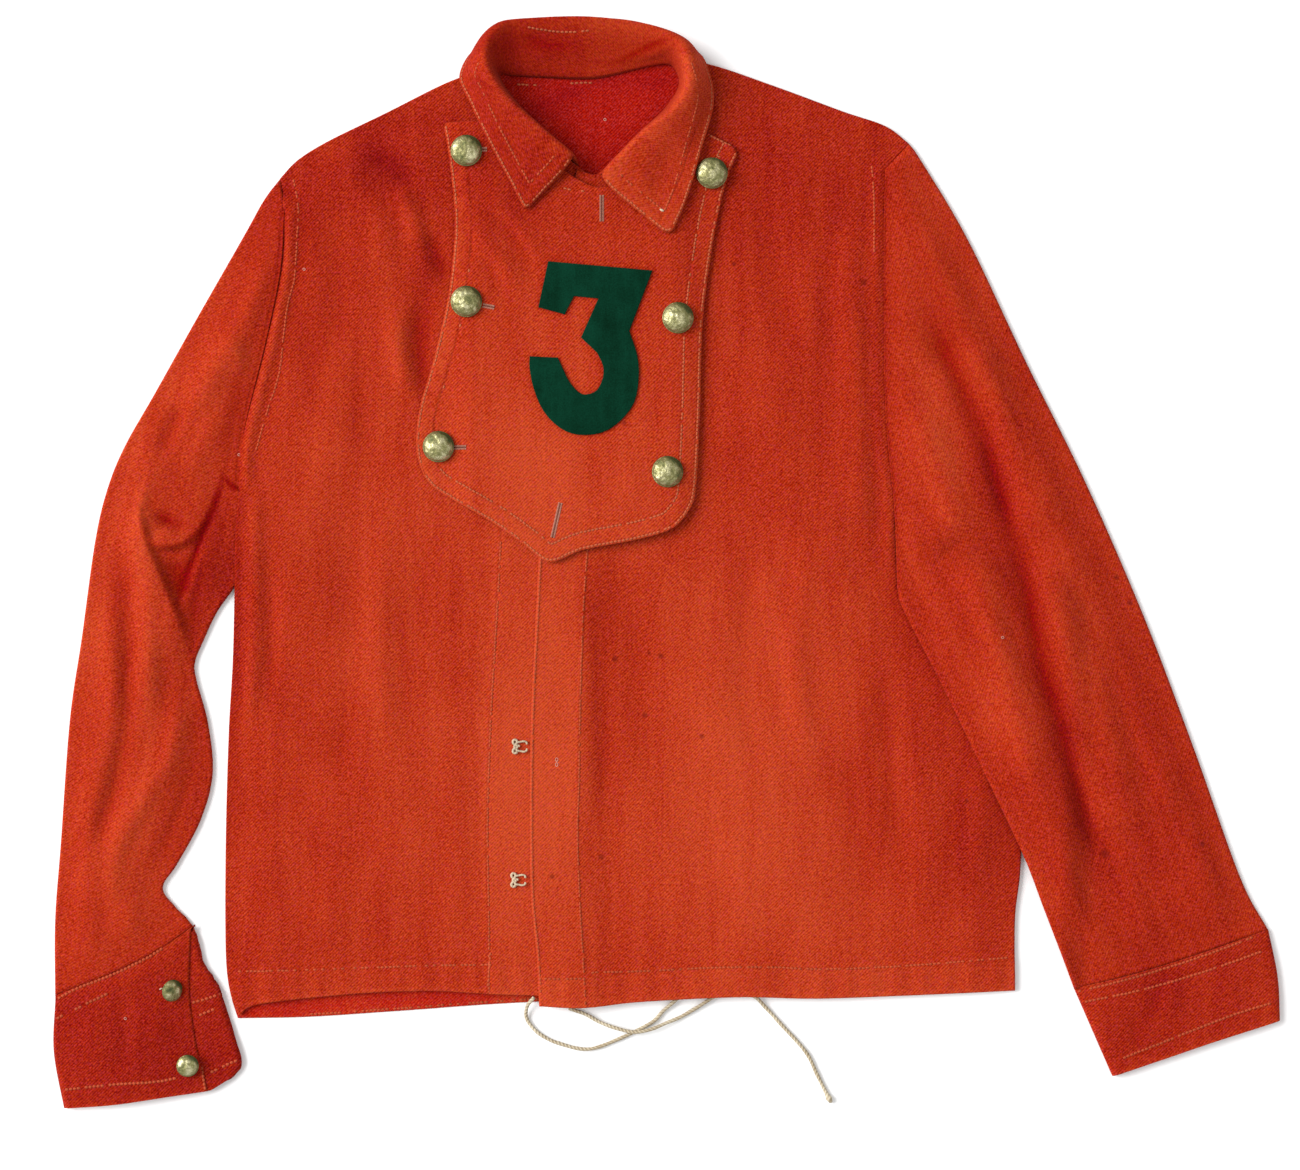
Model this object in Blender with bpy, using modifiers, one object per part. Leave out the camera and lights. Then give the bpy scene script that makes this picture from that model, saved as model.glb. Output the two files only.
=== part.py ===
"""Bib-front work shirt, laid out flat on its back with the front up.

The frame: the table is Z = 0, +Y runs from the hem to the collar, and +X is to the right
as the shirt is looked down on. The origin is on the table under the middle of the shirt.
All sizes below are millimetres. "Right" and "left" in names are the wearer's, so the
right front and right sleeve lie at -X.
"""

import math
from collections import namedtuple

import bmesh
import bpy
import numpy as np

MM = 0.001
COLLECTION = "bib_front_shirt"

# Cloth walls and the air between the layers
CLOTH = 1.5
BIB_WALL = 2.0
COLLAR_WALL = 2.0
CUFF_WALL = 1.9
SEAM_GAP = 0.5
LAYER_GAP = 0.4
FELT = 1.2

# Heights of the undersides, each stacked on the layer below it
FRONT_LIES = CLOTH + LAYER_GAP
DOUBLED = 0.6
LAP_RISE = CLOTH + DOUBLED + LAYER_GAP
BIB_EASE = 0.4
BIB_SIDE_LIES = FRONT_LIES + CLOTH + LAYER_GAP + BIB_EASE
BIB_LIES = FRONT_LIES + LAP_RISE + CLOTH + DOUBLED + LAYER_GAP + BIB_EASE

# Body: how far the doubled bands and the lap of the left front reach from its edge
PLACKET_WIDTH = 31.0
RIGHT_EDGE_HIDDEN = 28.0
RIGHT_EDGE_SHORTER = 2.0
STITCH_STEP = 4.0
STITCH_SHARE = 0.06
MIDDLE_SHARE = 0.5
LAP_FADES = 26.0
DOME = 2.0
DOME_RUN = 34.0
FOLD_RUN = 16.0
BACK_BEND_REACH = 0.3

# Across the bib: where it climbs on to the laps of the fronts, and where it comes down again
BIB_CLIMBS = -152.0
BIB_CLIMB_RUN = 22.0
BIB_DROPS = 4.0
BIB_DROP_RUN = 26.0

# Sleeves
SLEEVE_FLAT = 2 * CLOTH + 0.5
SLEEVE_PUFF = 3.6
SLEEVE_RUN = 30.0
SLEEVE_OVER_BODY = FRONT_LIES + CLOTH + DOME + 2 * LAYER_GAP
SLEEVE_LEAST_PUFF = 0.3
OVER_BODY_KEEPS = 26.0
OVER_BODY_FADES = 24.0
OVER_BODY_ENDS = 8.0
OVER_BODY_END_RUN = 34.0
UNDERARM = (-292.0, 42.0)
UNDERARM_PRESSED = 46.0
CUFF_GAP = 0.9
CUFF_FLAT = SLEEVE_FLAT + 1.0
CUFF_L_ROLL = 1.8
CUFF_L_SOFTER = 0.4

# Grid steps of the solids
SIDE_ROWS = 17
RIGHT_SEAM_ROWS = 10
LEFT_SEAM_ROWS = 11
LEFT_SIDE_ROWS = 13
LEFT_UNDERARM_ROWS = 4
NECK_STEPS = 6
SHOULDER_STEPS = 4
FRONT_COLUMNS = 8
BIB_COLUMNS = 10
BIB_ROWS = 13
SLEEVE_EDGE_ROWS = 13
SLEEVE_ACROSS = 10
SLEEVE_BEND_REACH = 0.2
SLEEVE_ROLL = 1.6
CUFF_ROWS = 3
COLLAR_STEPS = 2
CURVE_STEPS = 12

# Brass buttons
BIB_BUTTON = 22.4
CUFF_BUTTON = 15.6
BUTTON_DOME = 0.30
BUTTON_BACK = 0.07
BUTTON_SEAT = 0.3
BUTTON_STEPS = 14
BUTTON_CURVE = (68, 46, 26, 8)
BUTTON_MERGE = 0.00001
CUFF_BUTTON_TILT = (0.0, 0.10)

# Drawstring and the sewn hooks
CORD = 2.4
CORD_STEP = 6.5
CORD_ROUND = 2
HOOK_WIRE = 1.1
HOOK_ROUND = 1

Fold = namedtuple("Fold", "x0 y0 x1 y1 height left right")
Station = namedtuple("Station", "seam_x seam_y roll_x roll_y roll_z edge_x edge_y edge_z")
Spot = namedtuple("Spot", "x y")
CordPoint = namedtuple("CordPoint", "x y z")

# Outlines, each a route of (x, y), walked from the hem up or from the wearer's right to left
RIGHT_SIDE = [(-290, -306), (-296, -290), (-299, -262), (-299, -190), (-297, -115), (-294, -60),
              (-295, 20), (-294, 46)]
RIGHT_ARMHOLE = [(-294, 52), (-291, 74), (-283, 102), (-270, 150), (-260, 203), (-257, 240)]
RIGHT_TIP = (-268, 254)
RIGHT_SHOULDER = [RIGHT_TIP, (-229, 288), (-190, 307), (-150, 327), (-122, 337)]
RIGHT_NECK = [(-122, 337), (-115, 321), (-105, 311), (-84, 291), (-64, 272), (-52, 257), (-33, 249)]
RIGHT_HEM = [(-290, -306), (-275, -298), (-211, -291), (-160, -289), (-120, -291)]
RIGHT_STITCH = [(-120, -291), (-120, -240), (-121, -180), (-119, -110), (-115, -40), (-109, 60), (-99, 170),
                (-89, 290)]
LEFT_EDGE = [(-86, -299), (-88, -262), (-92, -215), (-92, -120), (-89, -48), (-84, 40), (-74, 150),
             (-60, 265)]
LEFT_NECK = [(-60, 265), (-44, 258), (-14, 289), (8, 310), (16, 337)]
LEFT_TIP = (165, 286)
LEFT_SHOULDER = [(16, 337), (29, 340), (74, 325), (120, 308), (149, 298), LEFT_TIP]
LEFT_HEM = [(-55, -300), (-15, -296), (50, -293), (110, -294), (237, -289)]
LEFT_SIDE = [(237, -289), (237, -240), (241, -200), (242, -110), (238, -42)]
LEFT_UNDERARM = [(238, -42), (197, -34), (157, -17)]
LEFT_ARMHOLE = [(157, -17), (155, 40), (149, 108), (148, 212), (149, 268)]
BODY_RIMS = (RIGHT_SIDE, RIGHT_SHOULDER, LEFT_SHOULDER, LEFT_SIDE)
UNDER_LEFT_SLEEVE = [(150, 40), (157, -17), (197, -34), (238, -42), (242, -110), (241, -200), (237, -289),
                     (150, -289), (150, 40)]
BACK_RIGHT_SIDE = [(-291, -308), (-296, -291), (-299, -262), (-299, -190), (-297, -115), (-293, -62),
                   (-281, -30), (-280, 35), (-288, 62)]
BACK_HEM = [(-291, -308), (-242, -307), (-181, -303), (-93, -297), (60, -291), (237, -288)]
BACK_NECK = [(-122, 337), (-112, 331), (-50, 329), (-30, 334), (16, 337)]

BIB_RIGHT_EDGE = [(-164, 60), (-169, 78), (-167, 106), (-157, 141), (-148, 180), (-143, 228),
                  (-146, 268), (-151, 300)]
BIB_LEFT_EDGE = [(14, 34), (20, 50), (23, 102), (25, 165), (32, 219), (41, 260), (50, 281)]
BIB_BOTTOM = [(-164, 60), (-154, 50), (-118, 29), (-98, 15), (-79, 2), (-56, 10), (-20, 17), (3, 24),
              (14, 34)]
BIB_TOP = [(-151, 300), (-119, 299), (-88, 283), (-62, 260), (-38, 253), (-12, 274), (12, 298), (30, 292),
           (50, 281)]

SLEEVE_R_OUTER = [RIGHT_TIP, (-287, 223), (-319, 167), (-347, 117), (-368, 80), (-380, 50), (-388, 15),
                  (-397, -50), (-405, -105), (-411, -187), (-415, -241), (-415, -293)]
SLEEVE_R_INNER = [(-294, 52), (-294, 44), (-290, 24), (-289, 4), (-293, -13), (-306, -32), (-318, -62),
                  (-319, -80), (-309, -112), (-308, -145), (-316, -173), (-332, -203), (-342, -219),
                  (-333, -234), (-323, -246)]
SLEEVE_R_END = [(-323, -246), (-347, -264), (-374, -277), (-415, -293)]
SLEEVE_L_OUTER = [LEFT_TIP, (173, 275), (205, 221), (245, 137), (285, 56), (325, -36), (358, -123),
                  (390, -212), (409, -248)]
SLEEVE_L_INNER = [(157, -17), (160, -29), (185, -78), (216, -142), (242, -197), (257, -236), (277, -288)]
SLEEVE_L_END = [(277, -288), (318, -278), (357, -266), (409, -248)]
CUFF_L_END = [(303, -347), (344, -333), (370, -324), (417, -309)]
CUFF_L_OUTER = [(409, -249), (415.5, -280), (417, -309)]

# Right cuff: open, its over part ends at the button edge and the under part runs on to the fold
CUFF_R_OUTER = [(-415, -294), (-416, -330), (-409, -369)]
CUFF_R_BUTTON_EDGE = [(-323, -247), (-324, -290), (-318, -330), (-311, -357)]
CUFF_R_FOLD = [(-319, -249), (-310, -277), (-301, -292), (-295, -314), (-288, -344)]
CUFF_R_BOTTOM = [(-409, -369), (-374, -366), (-340, -361), (-311, -357)]
CUFF_R_PUFF = 3.0
CUFF_ROLL = 2.2
CUFF_UNDER_TOP = 2 * CUFF_WALL + LAYER_GAP
CUFF_OVER_TOP = CUFF_UNDER_TOP + CUFF_WALL + LAYER_GAP
CUFF_LAP_CLIMB = 1.6
CUFF_R_FULLNESS = 0.7
CUFF_BUTTONED = 0.82

# The largest folds: a row is a ridge, or a trough where its height is less than 0, along a line
# from (x0, y0) to (x1, y1), with its reach to the left and to the right of that line
BODY_FOLDS = [
    Fold(-228, 268, -160, 205, -1.4, 12, 10),
    Fold(-205, 245, -172, 180, 2.2, 16, 14),
    Fold(-180, 292, -152, 262, 1.6, 14, 12),
    Fold(-232, 120, -252, -60, 1.8, 22, 18),
    Fold(-205, -40, -180, -230, 1.0, 26, 26),
    Fold(118, 240, 132, 20, 2.2, 18, 16),
    Fold(64, 150, 112, -60, 1.3, 22, 20),
    Fold(20, -60, 96, -250, 1.1, 26, 24),
]
BODY_LIFTS = [
    Fold(-294, 62, -293, -20, 3.6, 26, 30),
    Fold(-96, -296, 84, -292, 2.2, 42, 42),
]
SLEEVE_R_FOLDS = [
    Fold(-362, 112, -350, 44, 5.0, 16, 22),
    Fold(-312, 66, -322, 8, 5.5, 7, 20),
    Fold(-322, 8, -337, -30, 4.5, 6, 18),
    Fold(-351, 18, -338, -20, 4.0, 12, 16),
    Fold(-338, -20, -328, -66, 3.0, 9, 15),
    Fold(-346, 36, -326, 36, -6.0, 10, 12),
    Fold(-288, 165, -322, 96, 3.0, 12, 14),
    Fold(-372, -20, -362, -130, 2.6, 15, 18),
    Fold(-338, -100, -368, -212, 3.4, 15, 15),
    Fold(-392, -120, -396, -238, 1.8, 13, 13),
]
SLEEVE_L_FOLDS = [
    Fold(178, 166, 217, 78, -3.4, 11, 11),
    Fold(217, 78, 250, -40, -3.6, 11, 11),
    Fold(250, -40, 288, -200, -3.4, 11, 11),
    Fold(168, 110, 204, 10, 3.6, 14, 12),
    Fold(204, 10, 252, -150, 3.8, 14, 12),
    Fold(206, 160, 262, 20, 4.2, 18, 18),
    Fold(262, 20, 316, -190, 4.2, 20, 18),
    Fold(330, -130, 372, -232, 2.2, 14, 14),
]

# Collar, from its right front end round the back of the neck to its left front end
COLLAR = [
    Station(-59, 271, -63, 275, 18, -93, 240, 14.0),
    Station(-80, 291, -84, 292, 21, -104, 256, 13.9),
    Station(-102, 314, -107, 313, 24, -119, 284, 13.6),
    Station(-112, 328, -119, 329, 26, -133, 313, 11.6),
    Station(-112, 333, -122, 346, 25, -140, 332, 7.4),
    Station(-104, 332, -114, 361, 20, -127, 350, 2.6),
    Station(-88, 331, -98, 367, 15, -100, 344, 1.4),
    Station(-50, 330, -52, 368, 13, -52, 336, 1.3),
    Station(-22, 336, -18, 364, 14, -10, 346, 1.4),
    Station(-2, 340, 5, 355, 19, 20, 348, 2.6),
    Station(6, 337, 13, 344, 25, 30, 332, 6.6),
    Station(9, 325, 16, 324, 26, 32, 311, 10.0),
    Station(-1, 309, 6, 306, 24, 24, 281, 13.6),
    Station(-20, 291, -15, 289, 21, 14, 247, 13.9),
    Station(-44, 264, -43, 262, 18, -2, 227, 14.0),
]
NECK_CENTRE = (-52.0, 312.0)
COLLAR_STANDS = CLOTH + 0.7
COLLAR_LEANS = 3.0
ROLL_REACH = 8.0
STAND_PIECES = 4
FALL_PIECES = 6
STAND_HANDLE = 0.4
ROLL_HANDLE = 0.5
FALL_HANDLE = 0.4
SEAM_LIFT = COLLAR_WALL / 2
SEAM_LIFT_RUN = 8.0

BIB_BUTTONS = [Spot(-135, 280), Spot(31, 265), Spot(-135, 178), Spot(8, 167), Spot(-154, 80), Spot(1, 63)]
CUFF_BUTTONS = [Spot(-335, -288), Spot(-324, -339)]
HOOKS = [Spot(-99, -123), Spot(-100, -213.5)]
HOOK_SHAPE = [Spot(5, 3), Spot(-0.5, 3.2), Spot(-4, 5), Spot(-6, 3.2), Spot(-4.2, 1.4), Spot(-1.6, 1.2),
              Spot(-1.6, -1.2), Spot(-4.2, -1.4), Spot(-6, -3.2), Spot(-4, -5), Spot(-0.5, -3.2), Spot(5, -3)]

# Appliqué numeral: straight runs, and two bowls about one centre each
NUMERAL_HEAD = [(-86, 174), (-80, 205), (-9, 199), (-25, 158)]
NUMERAL_FOOT = [(-92, 141), (-73, 140)]
NUMERAL_NECK = [(-58, 154), (-46, 180), (-62, 182), (-68, 169)]
NUMERAL_BOWL = (-55.0, 125.0, 37.0)
NUMERAL_BOWL_SPAN = (12, -194)
NUMERAL_INNER = (-57.0, 128.5, 13.5)
NUMERAL_INNER_SPAN = (-140, 38)
NUMERAL_ARC_STEPS = 12

# Drawstring: both ends leave the hem at the centre front
CORD_A = [CordPoint(-89.4, -293, 7.0), CordPoint(-94, -299, 4.6), CordPoint(-95, -307, 1.5),
          CordPoint(-91, -314, 1.3), CordPoint(-84, -320, 1.3), CordPoint(-73, -325, 1.3),
          CordPoint(-53, -329, 1.3), CordPoint(-32, -322, 1.3), CordPoint(-10, -311, 1.3),
          CordPoint(-2, -303, 1.6), CordPoint(7, -295, 3.1), CordPoint(16, -286, 3.2)]
CORD_B = [CordPoint(-66, -301, 3.3), CordPoint(-55, -305, 2.4), CordPoint(-44, -311, 2.2),
          CordPoint(-32, -315, 3.4), CordPoint(-21, -317, 4.3), CordPoint(-10, -315, 4.2),
          CordPoint(0, -311, 3.0), CordPoint(10, -307, 1.5), CordPoint(22, -300, 2.0),
          CordPoint(33, -293, 3.2), CordPoint(47, -288, 3.2), CordPoint(60, -293, 3.0),
          CordPoint(68, -301, 1.6), CordPoint(78, -312, 1.3), CordPoint(95, -331, 1.3),
          CordPoint(103, -347, 1.3), CordPoint(112, -365, 1.3)]

MATERIALS = {
    "red_twill": ((0.56, 0.055, 0.018, 1.0), 0.88, 0.0),
    "green_felt": ((0.004, 0.040, 0.026, 1.0), 0.95, 0.0),
    "aged_brass": ((0.36, 0.33, 0.13, 1.0), 0.38, 1.0),
    "cream_thread": ((0.66, 0.54, 0.38, 1.0), 0.85, 0.0),
}


def ease(t):
    """0 below 0, 1 above 1, and a smooth run between them."""
    t = min(max(t, 0.0), 1.0)
    return t * t * (3 - 2 * t)


def smooth_route(points, count):
    """count + 1 points, evenly spaced along a smooth curve through the given ones."""
    knots = np.array(points, float)
    before = 2 * knots[0] - knots[1]
    after = 2 * knots[-1] - knots[-2]
    padded = np.vstack([before, knots, after])
    fine = []
    for i in range(1, len(padded) - 2):
        p0, p1, p2, p3 = padded[i - 1:i + 3]
        for t in np.linspace(0, 1, CURVE_STEPS, endpoint=False):
            bend = 2 * p1 + (p2 - p0) * t + (2 * p0 - 5 * p1 + 4 * p2 - p3) * t ** 2
            fine.append((bend + (3 * p1 - p0 - 3 * p2 + p3) * t ** 3) / 2)
    fine.append(padded[-2])
    fine = np.array(fine)
    length = np.concatenate([[0], np.cumsum(np.linalg.norm(np.diff(fine, axis=0), axis=1))])
    wanted = np.linspace(0, length[-1], count + 1)
    return np.stack([np.interp(wanted, length, fine[:, k]) for k in range(fine.shape[1])], axis=1)


def joined(*routes):
    """Routes one after another, a shared end counted once."""
    out = [routes[0]]
    for route in routes[1:]:
        shared = np.linalg.norm(route[0] - out[-1][-1]) < SEAM_GAP
        out.append(route[1:] if shared else route)
    return np.vstack(out)


def patch(bottom, top, left, right, reach=1.0):
    """A grid [row, column, xy] between four edges. Rows run from bottom to top.

    Each row is straight from left to right, plus the bends of the bottom and top edges,
    which fade over a share of the height, reach.
    """
    across = np.linspace(0, 1, len(bottom))[:, None]
    low_bend = bottom - (left[0] + across * (right[0] - left[0]))
    high_bend = top - (left[-1] + across * (right[-1] - left[-1]))
    grid = []
    for i in range(len(left)):
        v = i / (len(left) - 1)
        straight = left[i] + across * (right[i] - left[i])
        bends = max(1 - v / reach, 0) * low_bend + max(1 - (1 - v) / reach, 0) * high_bend
        grid.append(straight + bends)
    return np.array(grid)


def route_distance(route, x, y):
    """How far (x, y) lies from a route of straight pieces."""
    near = math.inf
    for (ax, ay), (bx, by) in zip(route[:-1], route[1:]):
        dx, dy = bx - ax, by - ay
        t = min(max(((x - ax) * dx + (y - ay) * dy) / (dx * dx + dy * dy), 0), 1)
        near = min(near, math.hypot(x - ax - t * dx, y - ay - t * dy))
    return near


def inside(outline, x, y):
    """Whether (x, y) lies within a closed outline."""
    within = False
    for (ax, ay), (bx, by) in zip(outline[:-1], outline[1:]):
        if (ay > y) != (by > y) and x < (bx - ax) * (y - ay) / (by - ay) + ax:
            within = not within
    return within


def folds_at(folds, x, y):
    """The sum of a table's ridges and troughs at (x, y)."""
    total = 0.0
    for fold in folds:
        dx, dy = fold.x1 - fold.x0, fold.y1 - fold.y0
        length = math.hypot(dx, dy)
        along = ((x - fold.x0) * dx + (y - fold.y0) * dy) / length
        aside = ((y - fold.y0) * dx - (x - fold.x0) * dy) / length
        past = max(-along, along - length, 0)
        reach = fold.left if aside > 0 else fold.right
        longest = max(fold.left, fold.right)
        total += fold.height * math.exp(-(aside / reach) ** 2 - (past / longest) ** 2)
    return total


def body_rise(x, y):
    """How far the front of the body stands off its flat rest height at (x, y)."""
    rim = min(route_distance(route, x, y) for route in BODY_RIMS)
    folds = folds_at(BODY_FOLDS, x, y) * ease(rim / FOLD_RUN)
    return max(DOME * ease(rim / DOME_RUN) + folds, 0) + folds_at(BODY_LIFTS, x, y)


def right_front_z(x, y, off_stitch):
    """Underside of the right front. off_stitch is the way past its placket's stitching."""
    return FRONT_LIES + body_rise(x, y) + DOUBLED * ease(off_stitch / STITCH_STEP + 1)


def left_front_z(x, y, off_edge):
    """Underside of the left front, which laps over the right one along its edge."""
    lap = 1 - ease((off_edge - PLACKET_WIDTH) / LAP_FADES)
    return FRONT_LIES + body_rise(x, y) + LAP_RISE * lap


def bib_z(x, y):
    """Underside of the bib: over the laps in its middle, and down on the fronts at its sides."""
    middle = ease((x - BIB_CLIMBS) / BIB_CLIMB_RUN) * (1 - ease((x - BIB_DROPS) / BIB_DROP_RUN))
    return BIB_SIDE_LIES + body_rise(x, y) + (BIB_LIES - BIB_SIDE_LIES) * middle


def with_heights(grid, height):
    """The grid's points with height(x, y) as their third coordinate."""
    heights = [[height(x, y) for x, y in row] for row in grid]
    return np.dstack([grid, np.array(heights)])


def material_of(name):
    """The named material, made when it is first asked for."""
    if name in bpy.data.materials:
        return bpy.data.materials[name]
    colour, roughness, metallic = MATERIALS[name]
    material = bpy.data.materials.new(name)
    material.use_nodes = True
    shader = material.node_tree.nodes["Principled BSDF"]
    shader.inputs["Base Color"].default_value = colour
    shader.inputs["Roughness"].default_value = roughness
    shader.inputs["Metallic"].default_value = metallic
    material.diffuse_color = colour
    return material


def add_object(name, data, material):
    """Puts mesh or curve data in the scene as one named sub-part."""
    data.materials.append(material_of(material))
    part = bpy.data.objects.new(name, data)
    bpy.data.collections[COLLECTION].objects.link(part)
    return part


def solidify(part, wall, offset):
    """Gives an open surface its cloth wall: offset 1 lays it outside the surface, -1 inside."""
    shell = part.modifiers.new("cloth_wall", "SOLIDIFY")
    shell.thickness = wall * MM
    shell.offset = offset
    part.data.shade_smooth()
    return part


def add_panel(name, points, wall, material="red_twill", offset=1.0):
    """A cloth panel: a grid of underside points [row, column, xyz], with its wall above them."""
    rows, columns = points.shape[:2]
    mesh = bpy.data.meshes.new(name)
    cloth = bmesh.new()
    bmesh.ops.create_grid(cloth, x_segments=columns - 1, y_segments=rows - 1, size=1)
    for vertex, point in zip(cloth.verts, points.reshape(-1, 3)):
        vertex.co = point * MM
    cloth.to_mesh(mesh)
    cloth.free()
    return solidify(add_object(name, mesh, material), wall, offset)


def add_tube(name, rings, wall, turned):
    """A flattened tube of cloth: a loft through its rings, with the wall inside them."""
    rows, around = rings.shape[:2]
    mesh = bpy.data.meshes.new(name)
    cloth = bmesh.new()
    verts = [[cloth.verts.new(point * MM) for point in ring] for ring in rings]
    for i in range(rows - 1):
        for j in range(around):
            k = (j + 1) % around
            face = (verts[i][j], verts[i][k], verts[i + 1][k], verts[i + 1][j])
            cloth.faces.new(face[::-1] if turned else face)
    cloth.to_mesh(mesh)
    cloth.free()
    return solidify(add_object(name, mesh, "red_twill"), wall, -1.0)


def flat_rings(grid, base, rise, flat, rolled):
    """Rings round a flattened tube: out along its lower layer and back along the upper one."""
    rings = []
    for row in grid:
        across = row[-1] - row[0]
        across = across / np.linalg.norm(across)
        inner = row[0] + across * rolled
        outer = row[-1] - across * rolled
        lower = [inner] + list(row[1:-1]) + [outer]
        upper = lower[::-1]
        ring = [(*row[0], base(*row[0]) + flat / 2)]
        ring += [(*p, base(*p)) for p in lower]
        ring += [(*row[-1], base(*row[-1]) + flat / 2)]
        ring += [(*p, base(*p) + flat + rise(*p)) for p in upper]
        rings.append(ring)
    return np.array(rings)


def right_front_points(armhole):
    """The right front's underside, row by row: its main panel, and the placket under the lap."""
    side = joined(smooth_route(RIGHT_SIDE, SIDE_ROWS), armhole)
    rows = len(side) - 1
    stitch = smooth_route(RIGHT_STITCH, rows)
    neck = smooth_route(RIGHT_NECK, NECK_STEPS)
    top = joined(smooth_route(RIGHT_SHOULDER, SHOULDER_STEPS), neck[:-2])
    stitch[-1] = top[-1]
    main = patch(smooth_route(RIGHT_HEM, len(top) - 1), top, side, stitch)
    hidden = smooth_route(LEFT_EDGE, rows) + [RIGHT_EDGE_HIDDEN, 0]
    hidden[0, 1] = RIGHT_HEM[-1][1] - RIGHT_EDGE_SHORTER
    hidden[-1] = neck[-1]
    strip = [stitch + (hidden - stitch) * share for share in (STITCH_SHARE, MIDDLE_SHARE, 1)]
    strip[1][-1] = neck[-2]
    grid = np.concatenate([main, np.stack(strip, axis=1)], axis=1)
    past = [-2 * STITCH_STEP] * (len(top) - 1) + [-STITCH_STEP] + [0] * len(strip)
    heights = [[right_front_z(x, y, off) for (x, y), off in zip(row, past)] for row in grid]
    return np.dstack([grid, np.array(heights)])


def left_front_points(side):
    """The left front's underside, row by row: its placket, which laps the right one, and the rest."""
    edge = smooth_route(LEFT_EDGE, len(side) - 1)
    top = joined(smooth_route(LEFT_NECK[1:], NECK_STEPS - 1), smooth_route(LEFT_SHOULDER, FRONT_COLUMNS - 1))
    inner = edge + [PLACKET_WIDTH, 0]
    inner[0] = LEFT_HEM[0]
    inner[-1] = top[0]
    main = patch(smooth_route(LEFT_HEM, len(top) - 1), top, inner, side)
    grid = np.concatenate([np.stack([edge, (edge + inner) / 2], axis=1), main], axis=1)
    heights = [[left_front_z(x, y, x - row[0, 0]) for x, y in row] for row in grid]
    return np.dstack([grid, np.array(heights)])


def add_fronts_and_back():
    """The back, flat on the table, and the two fronts that lie on it."""
    right_armhole = np.vstack([smooth_route(RIGHT_ARMHOLE, RIGHT_SEAM_ROWS), RIGHT_TIP])
    left_side = joined(
        smooth_route(LEFT_SIDE, LEFT_SIDE_ROWS),
        smooth_route(LEFT_UNDERARM, LEFT_UNDERARM_ROWS),
        smooth_route(LEFT_ARMHOLE, LEFT_SEAM_ROWS),
        np.array([LEFT_TIP]),
    )
    add_panel("front_right", right_front_points(right_armhole), CLOTH)
    add_panel("front_left", left_front_points(left_side), CLOTH)

    right_side = joined(smooth_route(BACK_RIGHT_SIDE, SIDE_ROWS + 1), right_armhole[1:])
    top = joined(
        smooth_route(RIGHT_SHOULDER, SHOULDER_STEPS),
        smooth_route(BACK_NECK, SHOULDER_STEPS),
        smooth_route(LEFT_SHOULDER, SHOULDER_STEPS + 1),
    )
    grid = patch(smooth_route(BACK_HEM, len(top) - 1), top, right_side, left_side, BACK_BEND_REACH)
    add_panel("back", with_heights(grid, on_table), CLOTH)


def add_bib():
    """The buttoned shield bib and the felt numeral on it."""
    grid = patch(
        smooth_route(BIB_BOTTOM, BIB_COLUMNS),
        smooth_route(BIB_TOP, BIB_COLUMNS),
        smooth_route(BIB_RIGHT_EDGE, BIB_ROWS),
        smooth_route(BIB_LEFT_EDGE, BIB_ROWS),
    )
    add_panel("bib", with_heights(grid, bib_z), BIB_WALL)

    outline = NUMERAL_HEAD + arc(NUMERAL_BOWL, NUMERAL_BOWL_SPAN) + NUMERAL_FOOT
    outline += arc(NUMERAL_INNER, NUMERAL_INNER_SPAN) + NUMERAL_NECK
    curve = bpy.data.curves.new("numeral", "CURVE")
    curve.dimensions = "2D"
    curve.fill_mode = "BOTH"
    curve.extrude = FELT / 2 * MM
    spline = curve.splines.new("POLY")
    spline.points.add(len(outline) - 1)
    for point, (x, y) in zip(spline.points, outline):
        point.co = (x * MM, y * MM, 0, 1)
    spline.use_cyclic_u = True
    numeral = add_object("numeral", curve, "green_felt")
    highest = max(bib_z(x, y) for x, y in outline)
    numeral.location.z = (highest + BIB_WALL + LAYER_GAP + FELT / 2) * MM


def arc(circle, span):
    """Points round part of a circle (x, y, radius), from one angle in degrees to the other."""
    x, y, radius = circle
    angles = np.radians(np.linspace(*span, NUMERAL_ARC_STEPS))
    return [(x + radius * math.cos(a), y + radius * math.sin(a)) for a in angles]


def over_body(x, y):
    """How high the left sleeve's lower layer lies: on the body, and down to the table beside it."""
    away = 0 if inside(UNDER_LEFT_SLEEVE, x, y) else route_distance(UNDER_LEFT_SLEEVE, x, y)
    beside = 1 - ease((away - OVER_BODY_KEEPS) / OVER_BODY_FADES)
    below = 1 - ease((y - OVER_BODY_ENDS) / OVER_BODY_END_RUN)
    return SLEEVE_OVER_BODY * beside * below


def on_table(x, y):
    """The table's height."""
    return 0.0


def sleeve_rise(folds, edges):
    """A function of (x, y): how far a sleeve's upper layer stands off its flat height."""

    def rise(x, y):
        rim = min(route_distance(route, x, y) for route in edges)
        pressed = 1 - math.exp(-((x - UNDERARM[0]) ** 2 + (y - UNDERARM[1]) ** 2) / UNDERARM_PRESSED ** 2)
        return max(SLEEVE_PUFF + folds_at(folds, x, y), SLEEVE_LEAST_PUFF) * ease(rim / SLEEVE_RUN) * pressed

    return rise


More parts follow.
